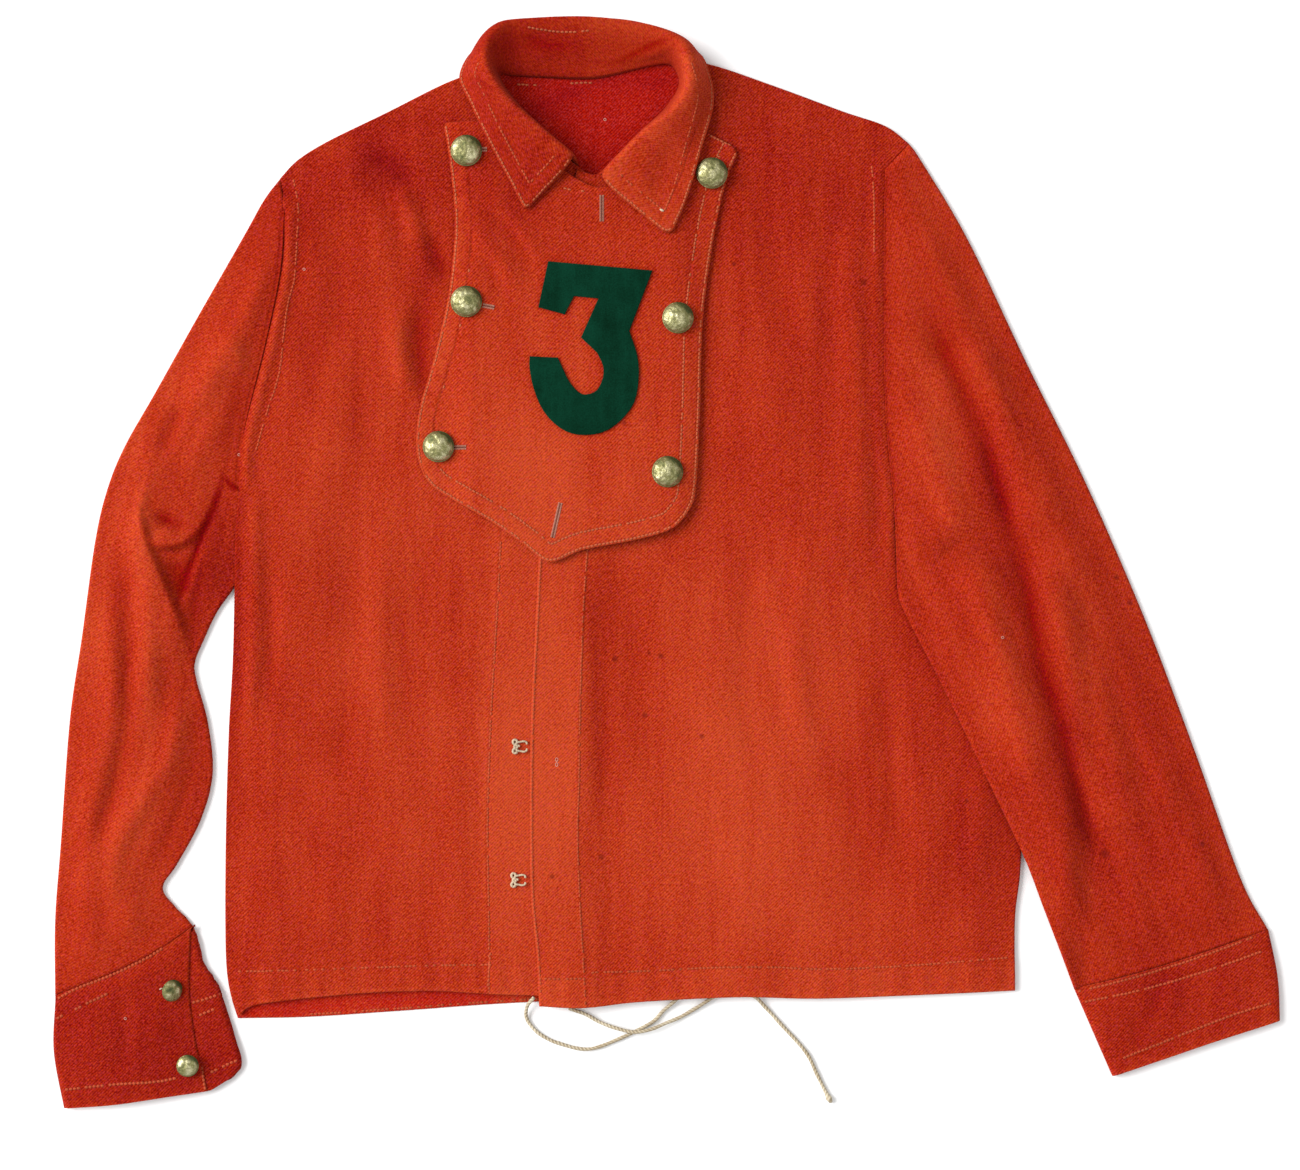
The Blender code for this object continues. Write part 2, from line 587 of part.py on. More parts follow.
def sleeve_strips(grid, seam_rows, base, rise):
    """A row of points for each cross-section: out along the lower layer and back along the upper.

    Rows beside the armhole are open at the seam. The others close at the inner fold.
    """
    strips = []
    for i, row in enumerate(grid):
        across = row[-1] - row[0]
        rolled = across / np.linalg.norm(across) * SLEEVE_ROLL
        first = row[0] if i < seam_rows else row[0] + rolled
        flat = [first] + list(row[1:-1]) + [row[-1] - rolled]
        upper = [(*p, base(*p) + SLEEVE_FLAT + rise(*p)) for p in flat]
        lower = [(*p, base(*p)) for p in flat]
        outer_fold = (*row[-1], base(*row[-1]) + SLEEVE_FLAT / 2)
        inner_fold = (*row[0], base(*row[0]) + SLEEVE_FLAT / 2)
        strip = lower + [outer_fold] + upper[::-1]
        strips.append(strip if i < seam_rows else [inner_fold] + strip)
    return strips


def add_sleeve(name, strips, seam_rows, turned):
    """A sleeve: a loft through its cross-sections, open along the armhole and at the cuff."""
    mesh = bpy.data.meshes.new(name)
    cloth = bmesh.new()
    rows = [[cloth.verts.new(np.array(point) * MM) for point in strip] for strip in strips]
    for i, (near, far) in enumerate(zip(rows[:-1], rows[1:])):
        fold = far[0]
        if i < seam_rows:
            far = far if i + 1 < seam_rows else far[1:]
        else:
            near = near + near[:1]
            far = far + far[:1]
        faces = [(near[j], near[j + 1], far[j + 1], far[j]) for j in range(len(near) - 1)]
        if i + 1 == seam_rows:
            faces += [(near[0], far[0], fold), (near[-1], fold, far[-1])]
        for face in faces:
            cloth.faces.new(face[::-1] if turned else face)
    cloth.to_mesh(mesh)
    cloth.free()
    return solidify(add_object(name, mesh, "red_twill"), CLOTH, -1.0)


def add_sleeves():
    """Both sleeves, flattened tubes that meet the body at the armhole seams."""
    for name, seam, seam_rows, outer, inner, end, folds, base, turned in (
        ("sleeve_right", RIGHT_ARMHOLE, RIGHT_SEAM_ROWS, SLEEVE_R_OUTER, SLEEVE_R_INNER, SLEEVE_R_END,
         SLEEVE_R_FOLDS, on_table, True),
        ("sleeve_left", LEFT_ARMHOLE, LEFT_SEAM_ROWS, SLEEVE_L_OUTER, SLEEVE_L_INNER, SLEEVE_L_END,
         SLEEVE_L_FOLDS, over_body, False),
    ):
        clear = np.array([SEAM_GAP if base is over_body else -SEAM_GAP, -SEAM_GAP])
        armhole = smooth_route(seam, seam_rows)[::-1] + clear
        inner_edge = joined(armhole, smooth_route(inner, SLEEVE_EDGE_ROWS)[1:])
        outer_edge = smooth_route(outer, len(inner_edge) - 1)
        outer_edge[0] += 2 * clear
        start = smooth_route([inner_edge[0], outer_edge[0]], SLEEVE_ACROSS)
        grid = patch(start, smooth_route(end, SLEEVE_ACROSS), inner_edge, outer_edge, SLEEVE_BEND_REACH)
        strips = sleeve_strips(grid, seam_rows, base, sleeve_rise(folds, (outer, inner)))
        add_sleeve(name, strips, seam_rows, turned)


def add_left_cuff():
    """The left cuff, closed: a flattened tube below the sleeve's end."""
    top = smooth_route(SLEEVE_L_END, SLEEVE_ACROSS) - [0, CUFF_GAP]
    bottom = smooth_route(CUFF_L_END, SLEEVE_ACROSS)
    outer = smooth_route(CUFF_L_OUTER, CUFF_ROWS)
    outer[0] = top[-1]
    grid = patch(top, bottom, smooth_route([top[0], bottom[0]], CUFF_ROWS), outer)
    rise = sleeve_rise([], (SLEEVE_L_OUTER, SLEEVE_L_INNER))
    rings = flat_rings(grid, on_table, lambda x, y: rise(x, y) * CUFF_L_SOFTER, CUFF_FLAT, CUFF_L_ROLL)
    add_tube("cuff_left", rings, CUFF_WALL, False)


def add_right_cuff():
    """The right cuff, open: a strip folded round the wrist, whose over part laps its under part."""
    outer = smooth_route(CUFF_R_OUTER, CUFF_ROWS)
    edge = smooth_route(CUFF_R_BUTTON_EDGE, CUFF_ROWS)
    fold = smooth_route(CUFF_R_FOLD, CUFF_ROWS)
    top = smooth_route(SLEEVE_R_END[::-1], SLEEVE_ACROSS) - [0, CUFF_GAP]
    outer[0], edge[0] = top[0], top[-1]
    over = patch(top, smooth_route(CUFF_R_BOTTOM, SLEEVE_ACROSS), outer, edge)
    sections = []
    for row, left, button, turn in zip(over, outer, edge, fold):
        rolled = (turn - left) / np.linalg.norm(turn - left) * CUFF_ROLL
        tucked = (row[-3], row[-2], button + rolled, turn - rolled)
        section = [(*point, CUFF_UNDER_TOP) for point in tucked]
        section.append((*turn, CUFF_UNDER_TOP / 2))
        section += [(*point, 0) for point in (turn - rolled, *row[-2:0:-1], left + rolled)]
        section += [(*left, CUFF_UNDER_TOP / 2), (*(left + rolled), CUFF_UNDER_TOP)]
        section += [(*row[j], cuff_over_z(j / SLEEVE_ACROSS)) for j in range(1, SLEEVE_ACROSS + 1)]
        sections.append(section)
    add_panel("cuff_right", np.array(sections)[::-1], CUFF_WALL, offset=-1.0)


def cuff_over_z(share):
    """Top of the right cuff's over part, a share of the way from its outer fold to its button edge."""
    lapped = ease(share * CUFF_LAP_CLIMB) * (CUFF_OVER_TOP - CUFF_UNDER_TOP)
    return CUFF_UNDER_TOP + lapped + CUFF_R_PUFF * math.sin(math.pi * share) ** CUFF_R_FULLNESS


def add_collar():
    """The fold-over collar: its stand round the neck, the roll, and the fall outside it."""
    knots = [tuple(station) for station in COLLAR]
    stations = smooth_route(knots, COLLAR_STEPS * (len(COLLAR) - 1))
    points = np.zeros((len(stations), STAND_PIECES + FALL_PIECES + 1, 3))
    for i, row in enumerate(stations):
        station = Station(*row)
        seam = np.array([station.seam_x, station.seam_y, COLLAR_STANDS])
        roll = np.array([station.roll_x, station.roll_y, station.roll_z])
        edge = np.array([station.edge_x, station.edge_y, station.edge_z])
        out = np.array([roll[0] - NECK_CENTRE[0], roll[1] - NECK_CENTRE[1], 0])
        out = out / np.linalg.norm(out)
        lean = max(float(np.dot(roll - seam, out)) / COLLAR_LEANS, 0)
        seam[2] += SEAM_LIFT * ease((lean - 1) / SEAM_LIFT_RUN)
        away = edge - roll
        reach = np.linalg.norm(away[:2])
        away = np.array([away[0], away[1], 0]) / reach
        up = np.array([0, 0, (roll[2] - seam[2]) * STAND_HANDLE])
        stand = (seam, seam + up + out * lean, roll - out * ROLL_REACH * ROLL_HANDLE, roll)
        fall = (roll, roll + out * ROLL_REACH, edge - away * reach * FALL_HANDLE, edge)
        points[i, :STAND_PIECES + 1] = bezier(stand, STAND_PIECES)
        points[i, STAND_PIECES:] = bezier(fall, FALL_PIECES)
    add_panel("collar", points, COLLAR_WALL, offset=0.0)


def bezier(handles, pieces):
    """pieces + 1 points along a cubic with these four handles."""
    a, b, c, d = handles
    out = []
    for t in np.linspace(0, 1, pieces + 1):
        s = 1 - t
        out.append(a * s ** 3 + 3 * b * s ** 2 * t + 3 * c * s * t ** 2 + d * t ** 3)
    return np.array(out)


def button_mesh(diameter):
    """A domed button: a profile turned about Z, with its flat back at Z = 0."""
    radius = diameter / 2
    back = diameter * BUTTON_BACK
    dome = diameter * BUTTON_DOME
    profile = [(0, dome)]
    for angle in BUTTON_CURVE:
        lean = math.radians(angle)
        profile.append((radius * math.cos(lean), back + (dome - back) * math.sin(lean)))
    profile += [(radius, back / 2), (radius - back / 2, 0), (0, 0)]
    mesh = bpy.data.meshes.new(f"button_{diameter:.0f}")
    verts = [(x * MM, 0, z * MM) for x, z in profile]
    mesh.from_pydata(verts, [(i, i + 1) for i in range(len(verts) - 1)], [])
    mesh.materials.append(material_of("aged_brass"))
    return mesh


def add_button(name, mesh, spot, height, tilt=(0.0, 0.0)):
    """One button on the cloth at a spot, its back at the given height."""
    button = bpy.data.objects.new(name, mesh)
    bpy.data.collections[COLLECTION].objects.link(button)
    button.location = (spot.x * MM, spot.y * MM, height * MM)
    button.rotation_euler = (tilt[0], tilt[1], 0)
    turn = button.modifiers.new("turned", "SCREW")
    turn.steps = BUTTON_STEPS
    turn.render_steps = BUTTON_STEPS
    turn.use_merge_vertices = True
    turn.merge_threshold = BUTTON_MERGE
    turn.use_normal_calculate = True
    return button


def add_buttons():
    """Six buttons on the bib and two smaller ones on the right cuff."""
    large = button_mesh(BIB_BUTTON)
    small = button_mesh(CUFF_BUTTON)
    for i, spot in enumerate(BIB_BUTTONS, 1):
        reach = BIB_BUTTON / 2
        around = [(spot.x + reach * dx, spot.y + reach * dy) for dx in (-1, 0, 1) for dy in (-1, 0, 1)]
        lies = max(bib_z(x, y) for x, y in around) + BIB_WALL
        add_button(f"bib_button_{i}", large, spot, lies + BUTTON_SEAT)
    for i, spot in enumerate(CUFF_BUTTONS, 1):
        lies = cuff_over_z(CUFF_BUTTONED)
        add_button(f"cuff_button_{i}", small, spot, lies + BUTTON_SEAT, CUFF_BUTTON_TILT)


def add_wire(name, route, diameter, resolution):
    """A round thread or cord along a route of points, with filled ends."""
    curve = bpy.data.curves.new(name, "CURVE")
    curve.dimensions = "3D"
    curve.bevel_depth = diameter / 2 * MM
    curve.bevel_resolution = resolution
    curve.use_fill_caps = True
    spline = curve.splines.new("POLY")
    spline.points.add(len(route) - 1)
    for point, (x, y, z) in zip(spline.points, route):
        point.co = (x * MM, y * MM, z * MM, 1)
    return add_object(name, curve, "cream_thread")


def add_hooks():
    """Two thread-bound hooks sewn on the right front beside the left one's edge."""
    for i, hook in enumerate(HOOKS, 1):
        lies = right_front_z(hook.x, hook.y, 0) + CLOTH + HOOK_WIRE / 2 + BUTTON_SEAT
        route = [(hook.x + bend.x, hook.y + bend.y, lies) for bend in HOOK_SHAPE]
        add_wire(f"hook_{i}", route, HOOK_WIRE, HOOK_ROUND)


def add_drawstring():
    """The two ends of the hem's drawstring, lying on the table."""
    for name, table in (("drawstring_left_end", CORD_A), ("drawstring_right_end", CORD_B)):
        knots = [tuple(point) for point in table]
        length = sum(math.dist(a, b) for a, b in zip(knots[:-1], knots[1:]))
        add_wire(name, smooth_route(knots, round(length / CORD_STEP)), CORD, CORD_ROUND)


def main():
    """Clears the scene and makes the shirt."""
    for thing in list(bpy.data.objects):
        bpy.data.objects.remove(thing)
    bpy.context.scene.collection.children.link(bpy.data.collections.new(COLLECTION))
    add_fronts_and_back()
    add_bib()
    add_sleeves()
    add_left_cuff()
    add_right_cuff()
    add_collar()
    add_buttons()
    add_hooks()
    add_drawstring()


main()
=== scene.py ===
"""A bib-front work shirt of heavy red wool twill, laid out on its back: cloth, sewing, buttons and cord.

Sizes are millimetres in the shirt's own frame: X across, Y from hem to collar, Z up from the table.
"Right" and "left" are the wearer's, so the right sleeve lies at -X.
"""

import logging
import math
from collections.abc import Callable, Sequence
from dataclasses import dataclass, field
from enum import Enum

import bmesh
import bpy
import numpy as np
from bmesh.types import BMesh, BMVert
from bpy.types import Material, Mesh, Node, NodeSocket, Object
from mathutils import Euler, Matrix, Vector
from mathutils.bvhtree import BVHTree


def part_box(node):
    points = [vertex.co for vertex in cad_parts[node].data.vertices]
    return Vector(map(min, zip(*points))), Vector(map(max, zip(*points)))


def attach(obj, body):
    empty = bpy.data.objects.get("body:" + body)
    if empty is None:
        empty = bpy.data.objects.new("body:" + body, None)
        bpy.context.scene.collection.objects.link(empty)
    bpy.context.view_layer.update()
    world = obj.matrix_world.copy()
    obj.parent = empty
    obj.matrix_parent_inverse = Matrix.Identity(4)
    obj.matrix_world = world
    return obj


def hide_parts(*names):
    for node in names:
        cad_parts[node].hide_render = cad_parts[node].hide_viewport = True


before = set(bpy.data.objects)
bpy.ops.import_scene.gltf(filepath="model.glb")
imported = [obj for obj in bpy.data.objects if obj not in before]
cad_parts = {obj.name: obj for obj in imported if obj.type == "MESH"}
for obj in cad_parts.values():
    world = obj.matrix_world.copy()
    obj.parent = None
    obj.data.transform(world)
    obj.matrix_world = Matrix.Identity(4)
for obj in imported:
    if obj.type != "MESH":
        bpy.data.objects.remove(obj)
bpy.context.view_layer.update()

LOG = logging.getLogger("bib_front_shirt")
MM = 0.001
Route = Sequence[tuple[float, float]]
Array = np.ndarray
Height = Callable[[Array], Array]
Colour = tuple[float, float, float]
Socket = NodeSocket

# Walls, gaps and the heights at which the layers lie, as in the solids
CLOTH = 1.5
BIB_WALL = 2.0
COLLAR_WALL = 2.0
LAYER_GAP = 0.4
DOUBLED = 0.6
FRONT_LIES = CLOTH + LAYER_GAP
LAP_RISE = CLOTH + DOUBLED + LAYER_GAP
BIB_SIDE_LIES = FRONT_LIES + CLOTH + 2 * LAYER_GAP
BIB_LIES = FRONT_LIES + LAP_RISE + CLOTH + DOUBLED + 2 * LAYER_GAP
DOME = 2.0
DOME_RUN = 34.0
FOLD_RUN = 16.0
SLEEVE_FLAT = 3.5
SLEEVE_PUFF = 3.6
SLEEVE_RUN = 30.0
SLEEVE_OVER_BODY = FRONT_LIES + CLOTH + DOME + 2 * LAYER_GAP
PLACKET_WIDTH = 31.0
HEM_CASING = 20.0
HEM_STITCH = 21.0
EDGE_STITCH = 1.6
STEP = 3.0
NEAR_EDGE = (0.0, 0.45, 1.1, 2.0, 3.2, 4.8, 7.0)

# Beside an armhole's seam: (height, reach, distance from the seam)
ARMHOLE_PROFILE = ((1.2, 3.0, 5.2), (-0.7, 4.0, 13.0), (-0.8, 1.8, 0.0))

# Outlines, walked from the hem up or from the wearer's right to left
RIGHT_SIDE = [(-290, -306), (-296, -290), (-299, -262), (-299, -190), (-297, -115), (-294, -60),
              (-292, 20), (-290, 46)]
RIGHT_ARMHOLE = [(-290, 52), (-289, 76), (-284, 103), (-272, 151), (-262, 200), (-259.5, 240)]
RIGHT_TIP = (-262, 262.5)
RIGHT_SHOULDER = [RIGHT_TIP, (-250, 275), (-229, 288), (-190, 307), (-150, 327), (-122, 337)]
RIGHT_NECK = [(-122, 337), (-115, 321), (-105, 311), (-84, 291), (-64, 274), (-53, 265), (-33, 251)]
RIGHT_HEM = [(-290, -306), (-275, -298), (-211, -291), (-160, -289), (-120, -291)]
RIGHT_STITCH = [(-120, -291), (-120, -240), (-121, -180), (-119, -110), (-115, -40), (-109, 60), (-99, 170),
                (-89, 290)]
LEFT_EDGE = [(-86, -299), (-88, -262), (-92, -215), (-92, -120), (-89, -48), (-84, 40), (-74, 150),
             (-61, 268)]
LEFT_NECK = [(-48, 264), (-14, 289), (8, 310), (16, 337)]
LEFT_TIP = (165, 286)
LEFT_SHOULDER = [(16, 337), (29, 340), (74, 325), (120, 308), (149, 298), LEFT_TIP]
LEFT_HEM = [(-86, -299), (-55, -300), (-15, -296), (50, -293), (110, -294), (237, -289)]
LEFT_SIDE = [(237, -289), (237, -240), (241, -200), (242, -110), (238, -42)]
LEFT_UNDERARM = [(238, -42), (197, -34), (157, -17)]
LEFT_ARMHOLE = [(157, -17), (155, 40), (149, 108), (148, 212), (149, 268)]
BODY_RIMS = (RIGHT_SIDE, RIGHT_SHOULDER, LEFT_SHOULDER, LEFT_SIDE)
UNDER_LEFT_SLEEVE = [(150, 40), (157, -17), (197, -34), (238, -42), (242, -110), (241, -200), (237, -289),
                     (150, -289), (150, 40)]
BACK_RIGHT_SIDE = [(-291, -308), (-296, -291), (-299, -262), (-299, -190), (-297, -115), (-293, -62),
                   (-281, -30), (-280, 35), (-288, 62)]
BACK_HEM = [(-291, -308), (-242, -307), (-181, -303), (-93, -297), (60, -291), (237, -288)]
BACK_NECK = [(-122, 337), (-112, 331), (-50, 329), (-30, 334), (16, 337)]

BIB_RIGHT_EDGE = [(-164, 60), (-169, 78), (-167, 106), (-157, 141), (-148, 180), (-143, 228),
                  (-146, 268), (-151, 300)]
BIB_LEFT_EDGE = [(14, 34), (20, 50), (23, 102), (25, 165), (32, 219), (41, 260), (50, 281)]
BIB_BOTTOM = [(-164, 60), (-154, 50), (-118, 29), (-98, 15), (-79, 2), (-56, 10), (-20, 17), (3, 24),
              (14, 34)]
BIB_TOP = [(-151, 300), (-119, 299), (-88, 283), (-63, 263), (-40, 256), (-12, 276), (12, 298), (30, 292),
           (50, 281)]

SLEEVE_R_OUTER = [RIGHT_TIP, (-273, 248), (-287, 223), (-319, 167), (-347, 117), (-368, 80), (-380, 50),
                  (-388, 15), (-397, -50), (-405, -105), (-411, -187), (-415, -241), (-415, -293)]
SLEEVE_R_INNER = [(-289, 52), (-286, 44), (-284, 26), (-285, 6), (-292, -13), (-305, -32), (-314, -51),
                  (-320, -66), (-319, -78), (-311, -108), (-308, -142), (-316, -173), (-332, -203),
                  (-342, -219), (-334, -231.5), (-326, -239.5), (-321, -246)]
SLEEVE_R_END = [(-321, -246), (-347, -264), (-374, -277), (-415, -293)]
SLEEVE_L_OUTER = [LEFT_TIP, (173, 275), (205, 221), (245, 137), (285, 56), (325, -36), (358, -123),
                  (390, -212), (409, -248)]
SLEEVE_L_INNER = [(157, -17), (160, -29), (185, -78), (216, -142), (242, -197), (257, -236), (277, -288)]
SLEEVE_L_END = [(277, -288), (318, -278), (357, -266), (409, -248)]
CUFF_L_END = [(303, -347), (344, -333), (370, -324), (417, -309)]
CUFF_L_OUTER = [(409, -249), (415.5, -280), (417, -309)]
CUFF_R_OUTER = [(-415, -294), (-416, -330), (-409, -369)]
CUFF_R_BUTTON_EDGE = [(-322.5, -247), (-323.5, -290), (-318, -330), (-311, -357)]
CUFF_R_FOLD = [(-320.4, -245.9), (-317.2, -255), (-313.5, -270), (-307.5, -279), (-302, -289), (-295, -312),
               (-289, -330), (-287.5, -337), (-289, -342.5), (-295, -349)]
CUFF_R_BOTTOM = [(-409, -369), (-374, -366), (-340, -361), (-311, -357)]

BIB_BUTTONS = [(-135, 280), (31, 265), (-135, 178), (8, 167), (-154, 80), (1, 63)]
CUFF_BUTTONS = [(-335, -288), (-324, -339)]
CUFF_BUTTON_TILTS = [(0.12, 0.62), (0.05, 0.1)]
LARGE_BUTTON = 21.2
SMALL_BUTTON = 15.0
HOOKS = [(-99, -123), (-100, -213.5)]
NUMERAL = [(-79.7, 205.2), (-9.2, 199), (-24.8, 158.1), (-19.3, 141), (-18.5, 125.3), (-21.6, 109.7),
           (-31, 97.2), (-43.5, 89.4), (-59.2, 87.9), (-71.6, 92.5), (-82.6, 103.5), (-89.5, 119),
           (-92.3, 133.3), (-92.2, 141), (-73.2, 140.1), (-70, 133.3), (-65.3, 123.8), (-59.2, 116.8),
           (-53.7, 115.2), (-46.6, 118.3), (-42.7, 126.9), (-42.7, 134.6), (-46.6, 143.3), (-57.5, 153.7),
           (-45.8, 180), (-62.2, 181.6), (-68.5, 169.3), (-86.4, 174.1)]


@dataclass(frozen=True)
class Crease:
    """One fold of the cloth: a ridge along a line, or a trough where its height is below 0.

    left and right are its reach on each side of the line, seen along it. A short reach is a step.
    """

    line: Route
    height: float
    left: float
    right: float


def crease_rows(*rows: tuple) -> tuple[Crease, ...]:
    """Creases, each from a row of its height, its reach to the left and to the right, and its points."""
    return tuple(Crease(points, height, left, right) for height, left, right, *points in rows)


BODY_CREASES = crease_rows(
    (1.8, 9, 12, (-236, 276), (-214, 262), (-196, 236), (-190, 196)),
    (-2.4, 9, 8, (-206, 282), (-184, 268), (-174, 250)),
    (3.2, 6, 7, (-183, 262), (-174, 240), (-163, 214)),
    (-2.8, 6, 5, (-163, 226), (-155, 208), (-148, 190)),
    (1.4, 10, 10, (-180, 292), (-152, 268)),
    (-1.1, 9, 10, (-230, 236), (-222, 190), (-228, 140)),
    (1.8, 22, 18, (-232, 120), (-246, 20), (-252, -60)),
    (1.0, 26, 26, (-205, -40), (-180, -230)),
    (2.2, 18, 16, (118, 240), (130, 130), (132, 20)),
    (1.3, 22, 20, (64, 150), (112, -60)),
    (1.1, 26, 24, (20, -60), (96, -250)),
    (-2.6, 7, 7, (-164, 186), (-168, 150), (-163, 108)),
    (2.4, 8, 7, (-184, 176), (-182, 146), (-171, 112)),
    (-0.8, 9, 9, (-206, 160), (-208, 110), (-200, 60)),
    (2.2, 6, 7, (-280, 56), (-280, -20), (-283, -110)),
    (-1.4, 4, 5, (-268, 2), (-267, -40), (-269, -92)),
    (-0.8, 10, 10, (-250, 190), (-238, 110), (-250, 40)),
    (-0.8, 9, 9, (62, 262), (70, 210), (86, 150)),
    (0.9, 10, 12, (88, 286), (96, 200), (98, 140)),
    (-1.3, 8, 8, (140, 180), (143, 90), (146, 10)),
    (0.8, 8, 10, (106, 60), (122, -10), (150, -60)),
    (0.8, 10, 8, (58, 6), (84, -50), (92, -120)),
    (-0.7, 12, 12, (116, -120), (132, -190), (128, -250)),
    (0.6, 9, 9, (40, -170), (52, -220), (48, -276)),
    (0.9, 14, 12, (166, -110), (176, -180), (172, -250)),
    (-0.6, 12, 12, (-160, 20), (-176, -60), (-170, -130)),
    (0.7, 12, 12, (-232, -130), (-224, -200), (-232, -268)),
    (0.6, 9, 9, (-150, -120), (-142, -190), (-148, -262)),
    (0.5, 10, 9, (-58, -30), (-54, -110), (-60, -190)),
    (-0.6, 10, 10, (-26, -20), (-20, -90), (-8, -150)),
    (-0.7, 8, 8, (-210, 296), (-150, 300), (-128, 318)),
    (0.8, 9, 9, (30, 318), (70, 306), (120, 288)),
    (-0.8, 9, 9, (-216, 30), (-214, -60), (-222, -150)),
    (0.9, 8, 8, (-190, 40), (-194, -40), (-188, -120)),
    (-0.8, 9, 9, (60, 20), (52, -60), (62, -150)),
    (1.0, 8, 9, (96, 10), (88, -60), (98, -140)),
    (-1.0, 9, 9, (148, -60), (150, -120), (158, -200)),
    (0.9, 8, 8, (214, -60), (216, -130), (210, -220)),
    (-1.0, 8, 8, (120, 240), (112, 190), (116, 120)),
    (-0.7, 6, 7, (-46, -10), (-44, -90), (-42, -170)),
)
BODY_LIFTS = crease_rows(
    (3.6, 26, 30, (-294, 62), (-293, -20)),
    (2.2, 42, 42, (-96, -296), (84, -292)),
)
NECK_CREASES = crease_rows(
    (-0.9, 4, 4, (-70, 316), (-37, 325), (6, 338)),
    (0.9, 7, 7, (-96, 306), (-66, 318), (-44, 322)),
    (-0.7, 5, 5, (-30, 312), (-4, 326)),
    (0.7, 6, 6, (-110, 322), (-92, 312), (-76, 296)),
)
NECK_SHADOWS = crease_rows(
    (0.55, 5, 2.4, (-97, 305), (-77, 315), (-54, 322)),
    (0.35, 4, 3, (-98, 295), (-84, 305), (-62, 311)),
    (0.40, 4, 2, (-42, 320), (-18, 325), (6, 328)),
    (0.35, 3, 2, (-58, 328), (-30, 331), (0, 333)),
)
STAND_SHADOWS = crease_rows(
    (0.60, 1.6, 3.2, (-34, 341), (-10, 352), (4, 355.5)),
    (0.50, 1.6, 3, (-24, 336), (-8, 339), (7, 339.5)),
    (0.45, 2, 3, (-129, 329), (-121, 323), (-114, 319)),
    (0.35, 3, 4, (-96, 358), (-80, 352), (-62, 351)),
    (0.30, 2, 4, (-56, 343), (-40, 341), (-24, 345)),
)
STAND_CREASES = crease_rows(
    (-1.1, 3, 3, (-30, 343), (-12, 346), (4, 351)),
    (0.9, 3, 3, (-34, 336), (-14, 339), (3, 345)),
    (0.9, 4, 4, (-100, 352), (-84, 357), (-66, 354)),
    (-0.8, 5, 5, (-96, 344), (-76, 347), (-52, 344)),
    (-0.7, 3, 3, (-118, 338), (-112, 318), (-98, 300)),
    (-0.7, 6, 6, (-124, 316), (-112, 290), (-100, 268)),
    (0.7, 5, 5, (-112, 296), (-100, 276)),
    (-0.8, 5, 5, (14, 330), (20, 306), (12, 282)),
    (0.8, 7, 7, (6, 290), (-2, 268), (-6, 246)),
    (-0.6, 5, 5, (-22, 282), (-16, 262), (-14, 246)),
)
BIB_CREASES = crease_rows(
    (1.7, 6, 7, (-132, 228), (-112, 205), (-98, 184)),
    (-1.3, 5, 5, (-120, 240), (-104, 222), (-90, 196)),
    (1.0, 5, 5, (-112, 246), (-98, 226), (-84, 206)),
    (1.2, 7, 6, (-122, 262), (-110, 240)),
    (-1.2, 5, 5, (-140, 246), (-134, 220), (-136, 198)),
    (-0.9, 5, 5, (-126, 214), (-116, 196), (-110, 176)),
    (0.5, 7, 7, (-30, 76), (-22, 62), (-24, 46)),
    (0.4, 8, 8, (-60, 84), (-66, 64), (-62, 44)),
    (-0.4, 7, 7, (-8, 120), (-4, 92)),
    (0.5, 9, 9, (-12, 230), (4, 200)),
)
LOBE_RIM = ((-352, 30), (-350, 20), (-343, 13.5), (-331, 14), (-321, 20), (-312, 33), (-306, 49),
            (-301, 64))
FOREARM_RIDGE = ((-357, 46), (-357, 34), (-353, 18), (-347, 3), (-339, -16), (-331, -36), (-323, -60),
                 (-317, -82))
UNDER_LAYER = ((-301, 60), (-305, 44), (-315, 19), (-323, -3), (-332, -27))
SLEEVE_R_CREASES = crease_rows(
    (6.4, 15, 2.6, *LOBE_RIM),
    (5.0, 2.8, 17, *FOREARM_RIDGE),
    (1.8, 4, 4, (-351, 62), (-355, 44), (-355, 26), (-352, 10)),
    (-3.2, 1.7, 1.7, *UNDER_LAYER),
    (1.8, 10, 3.0, (-297, 56), (-301, 40), (-310, 15), (-318, -7), (-327, -30)),
    (-3.0, 5, 4, (-349, 37), (-338, 29), (-323, 23)),
    (-2.6, 9, 8, (-334, 6), (-330, -8), (-329, -22)),
    (-1.4, 4, 4, (-312, 10), (-318, -18), (-322, -50)),
    (1.2, 4, 4, (-306, 4), (-306, -16), (-316, -46)),
    (-2.2, 2.6, 3.0, (-300, 60), (-296, 55), (-290, 50)),
    (2.6, 12, 15, (-362, 112), (-356, 80), (-352, 56)),
    (3.0, 12, 14, (-288, 165), (-306, 130), (-322, 96)),
    (2.6, 9, 8, (-300, 106), (-318, 72), (-322, 54)),
    (1.2, 8, 8, (-272, 200), (-284, 160)),
    (-2.8, 6, 7, (-328, 112), (-336, 92), (-344, 72)),
    (1.4, 7, 6, (-296, 156), (-290, 140), (-284, 128)),
    (-1.5, 7, 8, (-372, 30), (-368, -10), (-362, -60)),
    (2.0, 9, 9, (-384, -20), (-374, -80), (-370, -130)),
    (2.8, 8, 9, (-351, 0), (-351, -60), (-353, -104)),
    (-2.6, 6, 7, (-366, -40), (-366, -100), (-374, -150), (-388, -190)),
    (-1.0, 7, 6, (-338, -46), (-338, -96), (-346, -150)),
    (3.0, 8, 9, (-326, -84), (-334, -122), (-352, -156), (-374, -196), (-378, -240)),
    (-1.8, 5, 5, (-317, -120), (-327, -160), (-346, -206)),
    (1.8, 13, 13, (-392, -120), (-396, -238)),
    (-1.6, 8, 8, (-384, -160), (-380, -210), (-382, -262)),
    (1.2, 8, 8, (-358, -210), (-362, -244), (-366, -266)),
    (1.2, 8, 7, (-340, -226), (-350, -246)),
)
